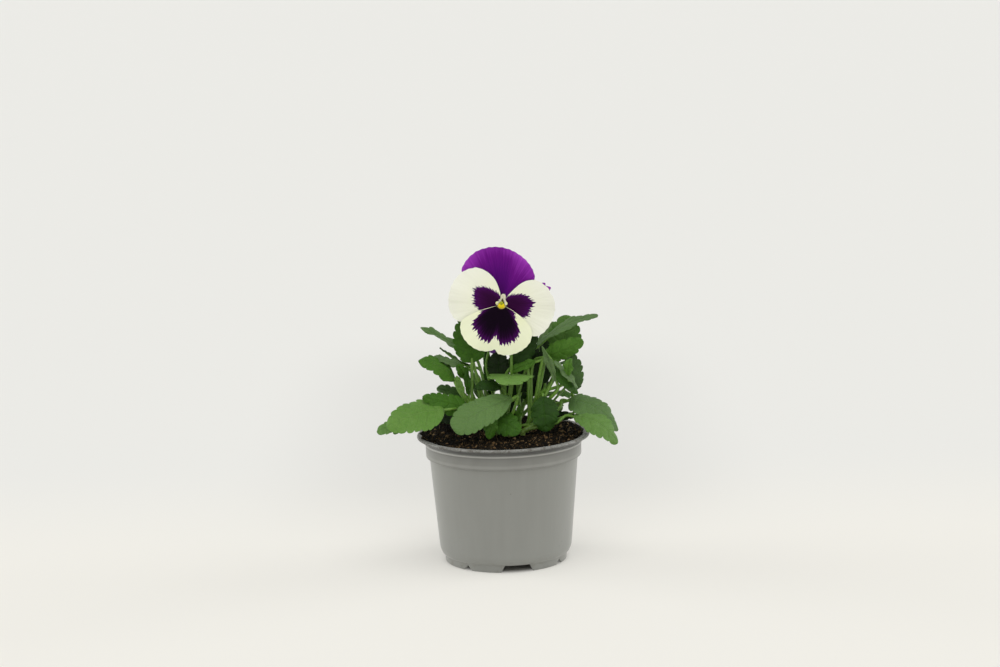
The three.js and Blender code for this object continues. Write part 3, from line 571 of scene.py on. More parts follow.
# Each stem: where it leaves the soil, the way it takes, and its leaves
LEAFY_STEMS = {
    "leafy_stem_left": ((-3, -3), [(-9, -4, 84), (-19, -4, 98)], [
        leaf((-28.3, -4, 112), (-49.5, -9, 125.4), 18.5, (-0.2, -0.5, 1), 4, -8, shade=0.15, ends=0.6),
        leaf((-17, -3, 122.5), (-21.8, -2, 151.5), 20.5, (-0.1, -1, 0.2), 2, 8, shade=-0.25, widest=0.38),
        leaf((-22.5, 6, 128.3), (-48.1, 3, 143.4), 9.5, (-0.1, -0.35, 1), 0.5, 12, shade=0, bloom=0.6),
        leaf((-19.1, 5, 119), (-37, 5, 130.5), 4.6, (-0.6, 0.15, 0.8), -1, 5, shade=-0.4),
        leaf((-24.8, 3, 100.6), (-39.5, 3, 106), 8, (0, -0.7, 0.6), 1, 8, shade=-0.4, bloom=0.4),
        leaf((-23.9, 0, 119.4), (-42.5, -2, 125.5), 7.5, (0, -0.5, 0.85), 1, 8, shade=0.2, bloom=0.9),
        leaf((-22.3, -2, 113), (-26.5, -3, 121.2), 7.2, (0.3, -1, 0), 1, 20, shade=-0.25),
        leaf((-23.4, -6, 104.8), (-27.3, -6, 114.8), 3.6, (0.2, -1, 0.3), 0.5, 15, shade=0.75),
        leaf((-20.4, -5, 103.3), (-20.9, -4, 119.8), 4.6, (-0.3, -1, 0), 0.5, 25, shade=-0.35),
        leaf((-14.2, 8, 98.8), (-15.4, 9, 112.9), 6.5, (0, -1, 0.2), 1, 5, shade=0.6, bloom=1.0),
        leaf((-6.8, 2, 101.6), (-8.9, 3, 128.6), 7, (0, -1, 0.1), 1, 20, shade=-0.55),
    ]),
    "leafy_stem_front_left": ((-5, -10), [(-9, -10, 84), (-13, -10, 89)], [
        leaf((-22, -14, 96.3), (-47.4, -20, 105.1), 15, (0, -0.8, 0.65), 1, -10, shade=-0.05, widest=0.28),
        leaf((-35.3, -22, 97.9), (-69, -30, 89.9), 27.5, (-0.1, -0.55, 0.8), 3, -8, bend=(-25, -12, 95),
             shade=0.5),
        leaf((-57.9, -12, 86), (-76, -13, 83.3), 12, (-0.2, -0.5, 0.8), 2, -5, bend=(-32, -9, 94),
             shade=0.3, bloom=0.3),
        # A near-black leaf that stands for deep shadow under the leaves, as painted shade
        leaf((-22.3, 2, 89.6), (-40.1, 4, 85.9), 8.5, (0, -0.9, 0.4), 1, -8, shade=-1.0),
    ]),
    "leafy_stem_front": ((3, -13), [(2, -13, 84), (0, -14, 92)], [
        leaf((5.5, -20, 103.2), (-29.8, -31, 87.8), 22.5, (-0.25, -0.75, 0.6), 2.5, -6, shade=0.4,
             bloom=0.6, widest=0.6, ends=0.38),
        leaf((-7, -19, 95.4), (-8.3, -24, 79.3), 10, (0.3, -1, 0.1), 1.5, -8, shade=0.2),
        leaf((-5.3, -17, 90.9), (10, -24, 83.1), 15.5, (0.15, -0.9, 0.35), 1.5, -8, shade=-0.15),
    ]),
    "leafy_stem_middle": ((1.5, -5), [(2, -5, 86), (3, -4.5, 100)], [
        # A near-black leaf that stands for the shadow among the stems, as painted shade
        leaf((2.6, -1.2, 98.8), (2.6, -0.8, 81.5), 11, (0.1, -1, 0.1), 1, -4, shade=-0.9),
        leaf((6.5, -5, 114.5), (4, -29, 113.5), 29, (0, -0.1, 1), 2, -1, shade=0.7),
        leaf((6, -6, 119.4), (21, -7, 139.5), 13, (0.1, -1, 0.2), 1, 5, shade=-0.7),
        # A near-black leaf that stands for the shadow among the stems, as painted shade
        leaf((-1.2, -2.5, 111), (-2, -1.5, 128), 15, (0, -1, 0.1), 1, 8, shade=-0.9),
        leaf((-0.7, -8, 107.1), (-16.6, -10, 108.2), 8.5, (0, -0.7, 0.7), 3.5, -10, shade=-0.6),
        # A near-black leaf that stands for the shadow among the stems, as painted shade
        leaf((11.4, 3, 102.2), (20.6, 4, 130.8), 13.5, (0, -1, 0.1), 1, -6, shade=-0.85),
    ]),
    "leafy_stem_right": ((14, -3), [(18, -3, 90), (23, -3, 104)], [
        leaf((22, 0, 131.4), (58.5, -2, 149.3), 10.5, (-0.3, -0.35, 0.95), 3.6, 2, bend=(16, -1, 114),
             bloom=0.7, widest=0.6, ends=0.28),
        leaf((35, 8, 121), (41, 10, 147.2), 22, (0.2, -1, 0.15), 1.5, 6, shade=0.1, bloom=0.2),
        leaf((26, -2, 124), (49.4, -4, 133.9), 14, (-0.2, -1, -0.3), 1.5, -10, shade=0.12),
        leaf((32.2, -11, 111.1), (24.6, -15, 132.8), 5.5, (-0.5, -0.85, 0), -1, 10, shade=0.7, bloom=0.9),
        leaf((31.6, -8, 121.6), (45.5, -12, 103.6), 15, (0.6, -0.45, 0.7), 2, -30, shade=-0.35),
        # A pale narrow sheet just in front of the folded leaf above, as a painted sheen on its upper half
        leaf((31.5, -12, 123.3), (45.2, -14, 107.1), 6, (0.5, -0.6, 0.7), 1, 5, shade=0.3, bloom=1.0),
        leaf((42.7, 4, 101.5), (41.4, 4, 125.3), 15.6, (0.4, -0.9, 0), 1.5, 15, shade=-0.3, bloom=0.4),
        leaf((24.5, -11, 101.8), (25.7, -16, 81.5), 17.5, (0, -1, 0.1), 2, -5, shade=-0.62),
        # A near-black leaf that stands for the shadow among the stems, as painted shade
        leaf((26.1, 5, 107), (26.7, 6, 134.6), 9, (0, -1, 0.1), 1, -6, shade=-0.8),
        leaf((20.2, -9, 123), (4.8, -7, 116.6), 6.5, (0.1, -0.8, 0.6), 1, 8, bend=(26, -6, 125), shade=0.2),
        leaf((39.6, -14, 115), (41.6, -15, 125.4), 7, (-0.5, -0.8, 0.2), 1, 15, shade=0.35),
    ]),
    "leafy_stem_right_low": ((12, -9), [(15, -9, 82), (20, -8, 85)], [
        leaf((42.8, -14, 90.3), (68.4, -20, 74.1), 18.5, (0.35, -0.6, 0.7), 6, -8, bend=(31.9, -12, 85.6),
             shade=0.55, bloom=0.25),
        leaf((40.9, -3, 97.7), (69.4, -8, 79.5), 23.5, (0.35, -0.5, 0.8), 6, -8, bend=(34.7, -6, 94.1),
             shade=-0.1, bloom=0.6, widest=0.28),
        # A near-black leaf that stands for deep shadow behind the rim, as painted shade
        leaf((27.6, 12, 85.1), (44.8, 13, 84.7), 6, (0, -1, 0.2), 1, -6, shade=-1.0),
        leaf((8.5, -6.5, 85.5), (10.5, -8, 96.5), 4.5, (-0.3, -1, 0), 0.5, 15, shade=0.1),
    ]),
    "leafy_stem_back_left": ((-2, 8), [(-5, 9, 88), (-8, 10, 100)], [
        leaf((-24, 14, 89), (-47, 22, 87), 17, (0, -0.1, 1), 4, -10),
        leaf((-16, 24, 93), (-31, 47, 84), 18, (-0.1, 0.3, 1), 4, -10, shade=0.2),
        leaf((-3, 26, 91), (-7, 57, 80), 19, (0, 0.3, 1), 5, -10, shade=0.3, bloom=0.3),
        leaf((-9, 14, 119), (-20, 27, 135), 15, (0.2, 0.7, 0.7), 2, 8, bloom=0.2),
        leaf((-6, 18, 103), (-22, 26, 100), 12, (0, -0.1, 1), 2, -10, shade=-0.3),
    ]),
    "leafy_stem_back_right": ((9, 9), [(11, 10, 88), (15, 11, 102)], [
        leaf((27, 16, 98), (48, 24, 93), 14, (0, -0.1, 1), 3, -10),
        leaf((22, 25, 92), (35, 48, 81), 18, (0.1, 0.3, 1), 4, -10, shade=0.3),
        leaf((12, 28, 91), (17, 57, 84), 17, (0, 0.3, 1), 4, -10, shade=0.1, bloom=0.3),
        leaf((22, 13, 123), (34, 27, 140), 15, (-0.2, 0.7, 0.7), 2, 8, shade=0.2),
        leaf((30, 14, 112), (46, 23, 117), 14, (0.1, 0.4, 0.9), 3, -8, shade=-0.2),
        leaf((8, 15, 118), (5, 32, 132), 15, (0, 0.7, 0.7), 2, 8, bloom=0.3),
        # Two near-black leaves that stand for the shadow among the stems, as painted shade
        leaf((22.5, 9, 96), (23, 8.5, 124), 12, (0.1, -1, 0.1), 1, -8, shade=-0.9),
        leaf((8, 6.3, 111), (6, 6.3, 93), 17, (0, -1, 0.1), 1, -6, shade=-0.9),
    ]),
}
# Bare lengths of the stalks of leaves further back, and how thick each is
FAR_STALKS = {
    "leafy_stem_left": [
        ([(-17.5, 0, 120.8), (-13.3, 0, 110.8), (-8.1, -2, 98.7), (-4, -3, 84)], 0.55),
        ([(-17.7, -3, 125), (-18.1, -3.5, 111.6), (-17.8, -4, 99.4), (-9, -4, 84)], 1.0),
        ([(-28.6, -4, 113.2), (-25.2, -4, 105.1), (-20.2, -4, 98.2), (-16.7, -4, 93.8)], 1.7),
        ([(-7.4, 2, 128.8), (-9.4, 1, 119.2), (-6.2, 0, 104.5), (-2, -2, 80)], 0.8),
    ],
    "leafy_stem_middle": [
        ([(5.9, -8, 129), (6, -8, 120.4), (5.5, -7, 111.7), (4, -6, 102.3)], 0.9),
        ([(-12.8, 3, 107.8), (-6.9, 2, 98.5), (-1, 0, 80)], 0.75),
        ([(-8.5, 4, 106.8), (-3.9, 3, 98.3), (1, 0, 80)], 0.75),
        ([(18, 2, 126.9), (11.5, 1, 106.9), (6.9, 0, 91.8), (5, -1, 79)], 0.9),
    ],
    "leafy_stem_right": [
        ([(33.3, -6, 114.5), (28.3, -7, 106.2), (23.8, -8, 97.9), (18, -5, 82)], 0.95),
        ([(36.4, 2, 106.7), (27.9, 0, 98), (17, -2, 82)], 0.7),
        ([(39.4, 2, 105.7), (31.9, 1, 97.7), (18, -2, 82)], 0.7),
    ],
    "leafy_stem_right_low": [([(43.6, -9, 91.4), (34.5, -8, 87.8), (20, -8, 84)], 0.65)],
}


def unit(rows):
    return rows / np.linalg.norm(rows, axis=-1, keepdims=True)


def midrib(shape, along):
    """Points down the middle of a blade, with its direction, its face and its side at each."""
    chord = shape["tip"] - shape["base"]
    ahead = unit(chord)
    facing = unit(shape["up"] - shape["up"].dot(ahead) * ahead)
    s = np.asarray(along, float)[:, None]
    centre = shape["base"] + chord * s + facing * shape["arch"] * 4 * s * (1 - s)
    tangent = unit(chord + facing * shape["arch"] * 4 * (1 - 2 * s))
    normal = unit(facing - (tangent @ facing)[:, None] * tangent)
    return centre, tangent, normal, np.cross(tangent, normal)


def veins(across, along, ribs):
    """How near a place on a blade is to a side vein, from 0 halfway between two to 1 on one."""
    count = (along - 0.2 * abs(across) ** 1.3) * ribs + 0.45
    return 2 * abs(count - np.floor(count) - 0.5)


def two_faced(sheet, thick):
    """Closed skin round a sheet of points, with its faces and the sheet's normals."""
    rows, columns = sheet.shape[:2]
    down, over = np.gradient(sheet, axis=(0, 1))
    normal = unit(np.cross(over, down))
    points = np.concatenate([(sheet + normal * side * thick / 2).reshape(-1, 3) for side in (1, -1)])
    under = rows * columns
    faces = []
    for i in range(rows - 1):
        for j in range(columns - 1):
            a = i * columns + j
            face = (a, a + 1, a + columns + 1, a + columns)
            faces += [face, tuple(under + k for k in reversed(face))]
    rim = list(range(columns)) + [i * columns + columns - 1 for i in range(1, rows)]
    rim += [(rows - 1) * columns + j for j in reversed(range(columns - 1))]
    rim += [i * columns for i in reversed(range(1, rows - 1))]
    faces += [(a, under + a, under + b, b) for a, b in zip(rim, rim[1:] + rim[:1])]
    return points, faces


def leaf_marks(across, along, under, shade, bloom=0.0, ribs=0):
    """What each point of a thin sheet's two faces carries for the leaf skin."""
    marks = {"across": np.tile(across.ravel(), 2), "along": np.tile(along.ravel(), 2)}
    marks["under"] = np.repeat(under, across.size)
    for word, value in (("shade", shade), ("bloom", bloom), ("ribs", ribs)):
        marks[word] = np.full(2 * across.size, float(value))
    return marks


def gathered(skins):
    """The points, faces and marks of several closed skins together."""
    points, faces, marks = [], [], {}
    for skin, sides, carried in skins:
        first = sum(map(len, points))
        faces += [tuple(k + first for k in face) for face in facing_outwards(skin, sides)]
        points.append(skin)
        for word, values in carried.items():
            marks.setdefault(word, []).append(values)
    return np.vstack(points), faces, {word: np.concatenate(values) for word, values in marks.items()}


def blade(shape, seed):
    """A leaf's blade: its skin, and what each of its points carries for the material."""
    draw = np.random.default_rng(seed)
    length = np.linalg.norm(shape["tip"] - shape["base"])
    teeth = max(3, round(length / TOOTH_PITCH))
    ribs = max(3, round(length / VEIN_PITCH))
    depth = min(TOOTH_DEPTH, 0.085 * shape["width"])
    s = np.linspace(0, 1, 10 * teeth + 1)
    v = np.linspace(-1, 1, 19)
    v = np.sign(v) * abs(v) ** 0.85
    # Each tooth is a rounded lobe, and the first and last ones run out into the blade's ends
    within = s * teeth - np.floor(s * teeth)
    slope = np.where(within < TOOTH_PEAK, TOOTH_PEAK, 1 - TOOTH_PEAK)
    lobe = np.sqrt(np.clip(1 - ((within - TOOTH_PEAK) / slope) ** 2, 0, 1))
    lobe[(s < TOOTH_PEAK / teeth) | (s > 1 - (1 - TOOTH_PEAK) / teeth)] = 1
    bow = np.sin(np.pi * s ** (math.log(0.5) / math.log(shape["widest"]))) ** shape["ends"]
    across, along = np.meshgrid(v, s)
    half = np.zeros_like(across)
    for side in (-1, 1):
        bite = depth * draw.uniform(0.7, 1.35, teeth + 2)[np.round(s * teeth).astype(int)] * (1 - lobe)
        edge = shape["width"] / 2 * draw.uniform(0.97, 1.03) * bow - bite * bow**0.5
        # It stays as wide as its stalk at the base, and blunt at the tip
        edge = np.maximum(edge, np.where(s > 0.5, 0.25, 0.85))
        half[:, v * side >= 0] = edge[:, None]
    # Lobes reach forwards, so the teeth lean towards the tip
    lean = 0.7 * depth * (lobe[:, None] - 0.5) * abs(across) ** 6
    centre, tangent, normal, side = midrib(shape, s)
    crease = np.sqrt(across**2 + 0.1**2) - 0.1
    phase = np.where(across > 0, 0, 1.9)
    ripple = 0.8 * across**2 * np.sin(2 * np.pi * 1.6 * along + phase)
    start = draw.uniform(0, 6, 1)
    frill = 0.35 * abs(across) ** 3 * np.sin(2 * np.pi * 3.7 * along + start + phase)
    curl = -0.05 * half * across**4 * draw.uniform(0.2, 1.4)
    fade = np.clip(1 - abs(across) ** 4, 0, 1) * np.clip(np.minimum(along, 1 - along) * 8, 0, 1)
    quilt = fade * (-0.34 * veins(across, along, ribs) ** 6 - 0.42 * np.exp(-((across / 0.07) ** 2)))
    rise = half * math.sin(shape["fold"]) * crease + ripple + frill + curl
    rise += quilt * min(1, shape["width"] / 16)
    aside = across * half * math.cos(shape["fold"])
    sheet = centre[:, None] + side[:, None] * aside[..., None] + normal[:, None] * rise[..., None]
    sheet += tangent[:, None] * lean[..., None]
    thick = 0.62 - 0.38 * abs(across) ** 3
    shade = shape["shade"] + draw.uniform(-0.1, 0.1)
    marks = leaf_marks(across, along, (0.0, 1.0), shade, shape["bloom"], ribs)
    return *two_faced(sheet, thick[..., None]), marks


def smooth_line(points, steps):
    """A smooth line through points, the same curve that the solids' stalks follow."""
    points = np.array(points, float)
    ends = np.vstack([2 * points[0] - points[1], points, 2 * points[-1] - points[-2]])
    line = []
    for t in np.linspace(0, len(points) - 1, steps):
        i = min(int(t), len(points) - 2)
        a, b, c, d = ends[i:i + 4]
        before, gap, after = (max(np.linalg.norm(q - p), 1e-6) ** 0.5 for p, q in ((a, b), (b, c), (c, d)))
        start = ((b - a) / before - (c - a) / (before + gap) + (c - b) / gap) * gap
        end = ((c - b) / gap - (d - b) / (gap + after) + (d - c) / after) * gap
        u = t - i
        line.append(b + start * u + (3 * (c - b) - 2 * start - end) * u**2
                    + (2 * (b - c) + start + end) * u**3)
    return np.array(line)


def stalk_tree():
    """A round stalk along every line of a mesh, as thick at each point as that point says."""
    plugs = recipe("stalk", {"Geometry": "Geometry", "Sides": "Int", "Material": "Material"})
    lines = plugs["Geometry"]
    curve = lines.node("GeometryNodeMeshToCurve", {}, {"Mesh": lines})
    thick = lines.node("GeometryNodeInputNamedAttribute", {"data_type": "FLOAT"}, {"Name": "thick"})
    ring = lines.node("GeometryNodeCurvePrimitiveCircle", {}, {"Resolution": plugs["Sides"], "Radius": 1.0})
    inputs = {"Curve": curve, "Profile Curve": ring, "Scale": thick, "Fill Caps": True}
    tubes = lines.node("GeometryNodeCurveToMesh", {}, inputs)
    tubes = lines.node("GeometryNodeSetShadeSmooth", {}, {"Geometry": tubes})
    return closed_with(tubes, plugs["Material"])


STALK = stalk_tree()


def stalks(name, lines, material, sides=10):
    """One object of round stalks; each line is its points and the radius at each, in millimetres."""
    edges = []
    first = 0
    for line, _ in lines:
        edges += [(first + i, first + i + 1) for i in range(len(line) - 1)]
        first += len(line)
    thick = np.concatenate([np.broadcast_to(radius, len(line)) for line, radius in lines]) * MM
    points = np.vstack([line for line, _ in lines]) * MM + POT_AXIS
    start = set_out(name + "_line", bare_mesh(name + "_line", points, edges, [], {"thick": thick}))
    made = grown(name, start, STALK, {"Sides": sides, "Material": material})
    bpy.data.objects.remove(start)
    return made


def buried(x, y):
    """The foot of a stem, straight up from below the soil to just above it."""
    return [(x, y, height) for height in (69, 75, 80)]


def leaf_skin():
    """Soft waxy green with a fine net of veins, paler under the leaf, with each leaf's painted light and
    shade, and a painted grey sheen where light glances off it.
    """
    finish = Finish("leaf_skin", Specular_IOR_Level=0.2, Subsurface_Weight=0.1,
                    Subsurface_Scale=0.0012, Subsurface_Radius=(0.4, 0.9, 0.1))
    place = finish.place
    across = abs(finish.mark("across"))
    along = finish.mark("along")
    under, shade, bloom, ribs = (finish.mark(word) for word in ("under", "shade", "bloom", "ribs"))
    between = ((along - 0.2 * across**1.3) * ribs + 0.45).saw()
    side_vein = between.ease(0.2, 0.0) * across.ease(1.0, 0.75)
    rib = across.ease(0.05, 0.01) * along.ease(1.0, 0.6)
    vein = rib.maths("MAXIMUM", side_vein * 0.5)
    mottle = place.grain(420, 4, 0.6)
    edges = {"feature": "DISTANCE_TO_EDGE"}
    net = place.node("ShaderNodeTexVoronoi", edges, {"Vector": place, "Scale": 900.0}).ease(0.0, 0.16)
    # Each leaf's shade mark is partly its own green and partly painted light and shade
    tone = shade * 0.5 + 0.28 + mottle * 0.28 + place.grain(60, 2) * 0.16
    top = (tone + vein * 0.07).ramp([
        (0.02, (0.006, 0.017, 0.0015)), (0.25, (0.021, 0.070, 0.004)), (0.5, (0.052, 0.152, 0.008)),
        (0.75, (0.105, 0.232, 0.033)), (1.0, (0.175, 0.315, 0.075)),
    ])
    # Painted grey sheen, where light glances off the leaf's top
    sheen_painted = (bloom * 0.8).mix(top, (0.124, 0.190, 0.086, 1))
    netted = ((1 - net) * 0.16).mix(sheen_painted, (0.015, 0.05, 0.004, 1))
    below = tone.ramp([(0.2, (0.060, 0.125, 0.030)), (0.85, (0.135, 0.230, 0.070))])
    finish.give("Base Color", under.mix(netted, (vein * 0.45).mix(below, (0.19, 0.29, 0.09, 1))))
    finish.give("Roughness", 0.46 + mottle * 0.14 + under * 0.14)
    finish.bumps(net * 0.3 - vein * 0.9 + mottle * 0.35, 0.0003)
    return finish.material


def stalk_skin():
    """Smooth yellow-green with faint streaks, browner near the soil."""
    finish = Finish("stalk_skin", Specular_IOR_Level=0.5, Subsurface_Weight=0.15,
                    Subsurface_Scale=0.0015, Subsurface_Radius=(0.5, 0.9, 0.2))
    place = finish.place
    height = axis_of(place, 2)
    streaks = place.stretched((1, 1, 0.25)).grain(1400, 3)
    green = streaks.ramp([(0.3, (0.085, 0.195, 0.018)), (0.7, (0.165, 0.320, 0.038))])
    earthy = height.ease(0.088, 0.077) * 0.45
    finish.give("Base Color", earthy.mix(green, (0.10, 0.085, 0.03, 1)))
    finish.give("Roughness", 0.38 + streaks * 0.15)
    finish.bumps(streaks, 0.00012)
    return finish.material


LEAF_SKIN = leaf_skin()
STALK_SKIN = stalk_skin()
for number, (name, (root, path, leaves)) in enumerate(LEAFY_STEMS.items()):
    stem = smooth_line(buried(*root) + path, 40)
    swell = 1 + 0.12 * np.cos(np.linspace(0, 6 * np.pi, 40)) ** 8
    lines = [(stem, np.linspace(1.75, 1.45, 40) * swell)]
    for i, shape in enumerate(leaves):
        # The stalks leave the stem one above another, and run on as a thinning rib under the blade
        start = stem[round((0.62 + 0.36 * (i + 0.5) / len(leaves)) * 39)]
        centre, tangent, normal, _ = midrib(shape, np.linspace(0.0, 0.8, 9))
        reach = np.linalg.norm(shape["base"] - start)
        knots = [start] + ([shape["bend"]] if shape["bend"] else [])
        knots += [shape["base"] - tangent[0] * reach * 0.18 - normal[0] * 0.4, centre[0] - normal[0] * 0.9]
        rib = centre[1:] - normal[1:] * np.linspace(1.1, 0.5, 8)[:, None]
        thick = np.concatenate([np.linspace(1.05, 0.8, 26), np.linspace(0.7, 0.16, 8)])
        lines.append((np.vstack([smooth_line(knots, 26), rib]), thick))
    lines += [(smooth_line(way, 30), thick) for way, thick in FAR_STALKS.get(name, [])]
    skins = [blade(shape, 100 * number + i) for i, shape in enumerate(leaves)]
    blades = finished(name + "_leaves", LEAF_SKIN, 60, *gathered(skins))
    joined(blades, [stalks(name + "_stalks", lines, STALK_SKIN)])
    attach(blades, "root")
    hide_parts(name)

# Flower stalk
# A slim smooth stalk that rises from the soil behind the bloom, hooks over and ends in the hub of
# the flower, with five pointed green sepals and a short spur behind the petals.
FLOWER_AT = Vector((0.9, -20, 160))
FLOWER_TURN = Matrix.Rotation(math.radians(86), 4, "X") @ Matrix.Rotation(math.radians(-3), 4, "Y")
FLOWER = Matrix.Translation(FLOWER_AT) @ FLOWER_TURN


def on_flower(points, place=FLOWER):
    """Points given in the flower's own axes, right, up and out of its face, from the pot's axis."""
    points = np.asarray(points, float)
    return points @ np.array(place.to_3x3()).T + np.array(place.translation)


def sepal(turn, start=1, length=13, width=4, height=-6, lean=-0.12):
    """A pointed sepal that leans out from the hub at a turn round it, as a sheet."""
    share, side = np.meshgrid(np.linspace(0, 1, 14), np.linspace(-1, 1, 9), indexing="ij")
    radius = start + length * share * math.cos(lean)
    level = height + length * share * math.sin(lean) - 0.25 * side**2 - 0.8 * share**3
    aside = side * np.interp(share, (0, 0.3, 0.65, 1), (0.55, 1, 0.8, 0.05)) * width / 2
    x = radius * math.cos(turn) - aside * math.sin(turn)
    y = radius * math.sin(turn) + aside * math.cos(turn)
    return np.stack([x, y, level], -1), share, side


def sepals(name, sheets, place, shade):
    """One object of thin green sheets in the leaf's skin."""
    skins = []
    for sheet, along, across in sheets:
        marks = leaf_marks(across, along, (0.4, 0.4), shade)
        skins.append((*two_faced(on_flower(sheet, place), 0.45), marks))
    return finished(name, LEAF_SKIN, 60, *gathered(skins))


hook = buried(10, 1) + [(10, 3, 100), (9, 3, 112), (6, 0, 130), (5, -3, 147), (2, -6, 160)]
hook += [tuple(p) for p in on_flower([(0, 1.5, -10), (0, 0, -6.2)])]
hub = on_flower([(0, 0, z) for z in (-7, -5.5, -3, -1, 0.1, 0.4)])
spur = on_flower([(0, -0.6, -5), (0, -1.2, -6.5), (0, -1.8, -8), (0, -2.3, -9.4), (0, -2.6, -10.5)])
flower_stalk = stalks("flower_stalk_green", [
    (smooth_line(hook, 90), np.linspace(1.25, 1.0, 90)),
    (hub, (1.3, 1.8, 1.7, 1.6, 1.6, 1.1)),
    (spur, (1.2, 1.2, 1.05, 0.95, 0.5)),
], STALK_SKIN, 14)
star = [sepal(math.pi / 2 + i * math.pi * 0.4) for i in range(5)]
joined(flower_stalk, [sepals("flower_sepals", star, FLOWER, 0.25)])
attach(flower_stalk, "root")
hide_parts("flower_stalk")

# Petals
# Five velvety petals fused to the hub in four layers: two purple ones behind, a white one at each
# side and a broad white one below. The white ones carry a dark violet blotch with feathered rims.
HUB_RADIUS = 1.95
# Each petal's layer, counted from the front, and its rim, anticlockwise: degrees round the flower
# from its right, and millimetres out
PETALS = {
    "petal_upper_back": (3, [
        (-34, 10), (-30, 19), (-20, 26), (-8, 28.8), (8, 29.6), (12.5, 28.9), (15.2, 29.8), (16.6, 31.0),
        (18.6, 30.6), (20, 28.0), (22, 27.6), (24, 29.0), (25.4, 28.6), (27, 25.4), (36, 22.6), (46, 17),
        (54, 10),
    ]),
    "petal_upper_front": (2, [
        (22, 10), (28, 18), (32, 22), (36, 24.7), (40, 25.9), (47, 27.3), (59, 29.4), (70, 31.0),
        (80, 32.5), (90, 33.7), (100, 34.4), (115, 34.6), (126, 33.7), (135, 32.4), (141, 31.0),
        (144, 27.0), (149, 20), (154, 10),
    ]),
    "petal_side_left": (1, [
        (96, 6), (99, 10), (104, 15.3), (110, 19.1), (115, 22.1), (120, 24.6), (124, 26.6), (128, 27.4),
        (135, 29.3), (141, 30.3), (150, 31.4), (160, 32.0), (172, 32.1), (184, 31.8), (192, 30.8),
        (197, 29.7), (202, 27.4), (207, 22), (211, 12),
    ]),
    "petal_side_right": (1, [
        (-58, 12), (-53, 21), (-48, 26.8), (-44, 28.6), (-40, 29.6), (-35, 30.4), (-27, 31.1), (-18, 31.5),
        (-8, 31.8), (2, 31.4), (9, 30.3), (13, 29.2), (17, 29.6), (20, 28.3), (24, 27.6), (30, 25.8),
        (36, 23.8), (40, 21.3), (44, 18.6), (47, 15.3), (50, 10), (53, 6),
    ]),
    "petal_lower": (0, [
        (-166, 8), (-164, 17), (-161, 23.4), (-158, 26.6), (-153, 28.2), (-147, 29.7), (-140, 30.7),
        (-130, 31.2), (-120, 31.1), (-112, 30.3), (-107, 29.4), (-104, 28.9), (-102.2, 27.6), (-98.8, 27.6),
        (-97, 29.8), (-90, 30.8), (-80, 31.0), (-71, 30.5), (-63, 29.7), (-56, 28.6), (-50, 26.9),
        (-45, 25.0), (-40, 22.2), (-36, 17.5), (-33, 12), (-30, 7),
    ]),
}
# How far each blotch reaches from the eye: degrees round the flower and millimetres
BLOTCHES = {
    "petal_side_left": [
        (92, 3), (98, 5.2), (107, 7.6), (115, 8.8), (120, 10.2), (127, 12.4), (133, 14.8), (141, 17.2),
        (150, 19.0), (160, 18.2), (170, 17.0), (178, 17.2), (186, 15.4), (193, 13.4), (197, 10.0),
        (200, 6.6), (206, 3),
    ],
    "petal_side_right": [
        (-46, 3), (-41, 10.0), (-37, 14.6), (-31, 16.2), (-24, 18.0), (-16, 17.2), (-9, 18.4), (0, 19.8),
        (7, 18.6), (12, 17.2), (20, 15.6), (27, 13.0), (33, 10.4), (43, 8.4), (53, 6.6), (60, 3),
    ],
    "petal_lower": [
        (-168, 12.5), (-160, 13.5), (-155, 15.5), (-151, 19.0), (-147, 21.7), (-142, 22.4), (-134, 22.8),
        (-127, 23.8), (-118, 24.7), (-111, 24.4), (-107, 21.6), (-101, 19.6), (-97, 22.0), (-93, 24.6),
        (-88, 24.4), (-82, 24.2), (-74, 23.4), (-65, 22.3), (-60, 20.6), (-55, 17.4), (-51, 14.0),
        (-46, 11.6), (-41, 10.6), (-34, 9.4),
    ],
}


def petal_sheet(layer, rim):
    """A petal's sheet of points in the flower's axes, with how far along and across each one is."""
    along, across = np.meshgrid(np.linspace(0, 1, 45), np.linspace(-1, 1, 121), indexing="ij")
    turns, reaches = np.array(rim).T
    turn = np.interp(across, (-1, 1), (turns[0], turns[-1]))
    edge = np.mean([np.interp(turn + off, turns, reaches) for off in (-1.6, -0.8, 0, 0.8, 1.6)], axis=0)
    edge = edge * (1 + 0.004 * np.sin(turn * 0.9 + layer * 2))
    radius = HUB_RADIUS + (edge - HUB_RADIUS) * along**0.85
    angle = np.radians(turn)
    share = radius / 31
    waves = ((1.1, 5, 0), (0.25, 11, layer), (0.1, 29, 2 * layer))
    ruffle = share**3 * sum(size * np.sin(count * angle + start) for size, count, start in waves)
    pleats = 0.04 * share * np.sin(angle * 74 + 3 * np.sin(angle * 9)) * np.clip(along * 3, 0, 1)
    level = ruffle + pleats - 3 * share**2 - layer * (1.15 + 0.7 * share)
    sheet = np.stack([radius * np.cos(angle), radius * np.sin(angle), level], -1)
    return sheet, along, across


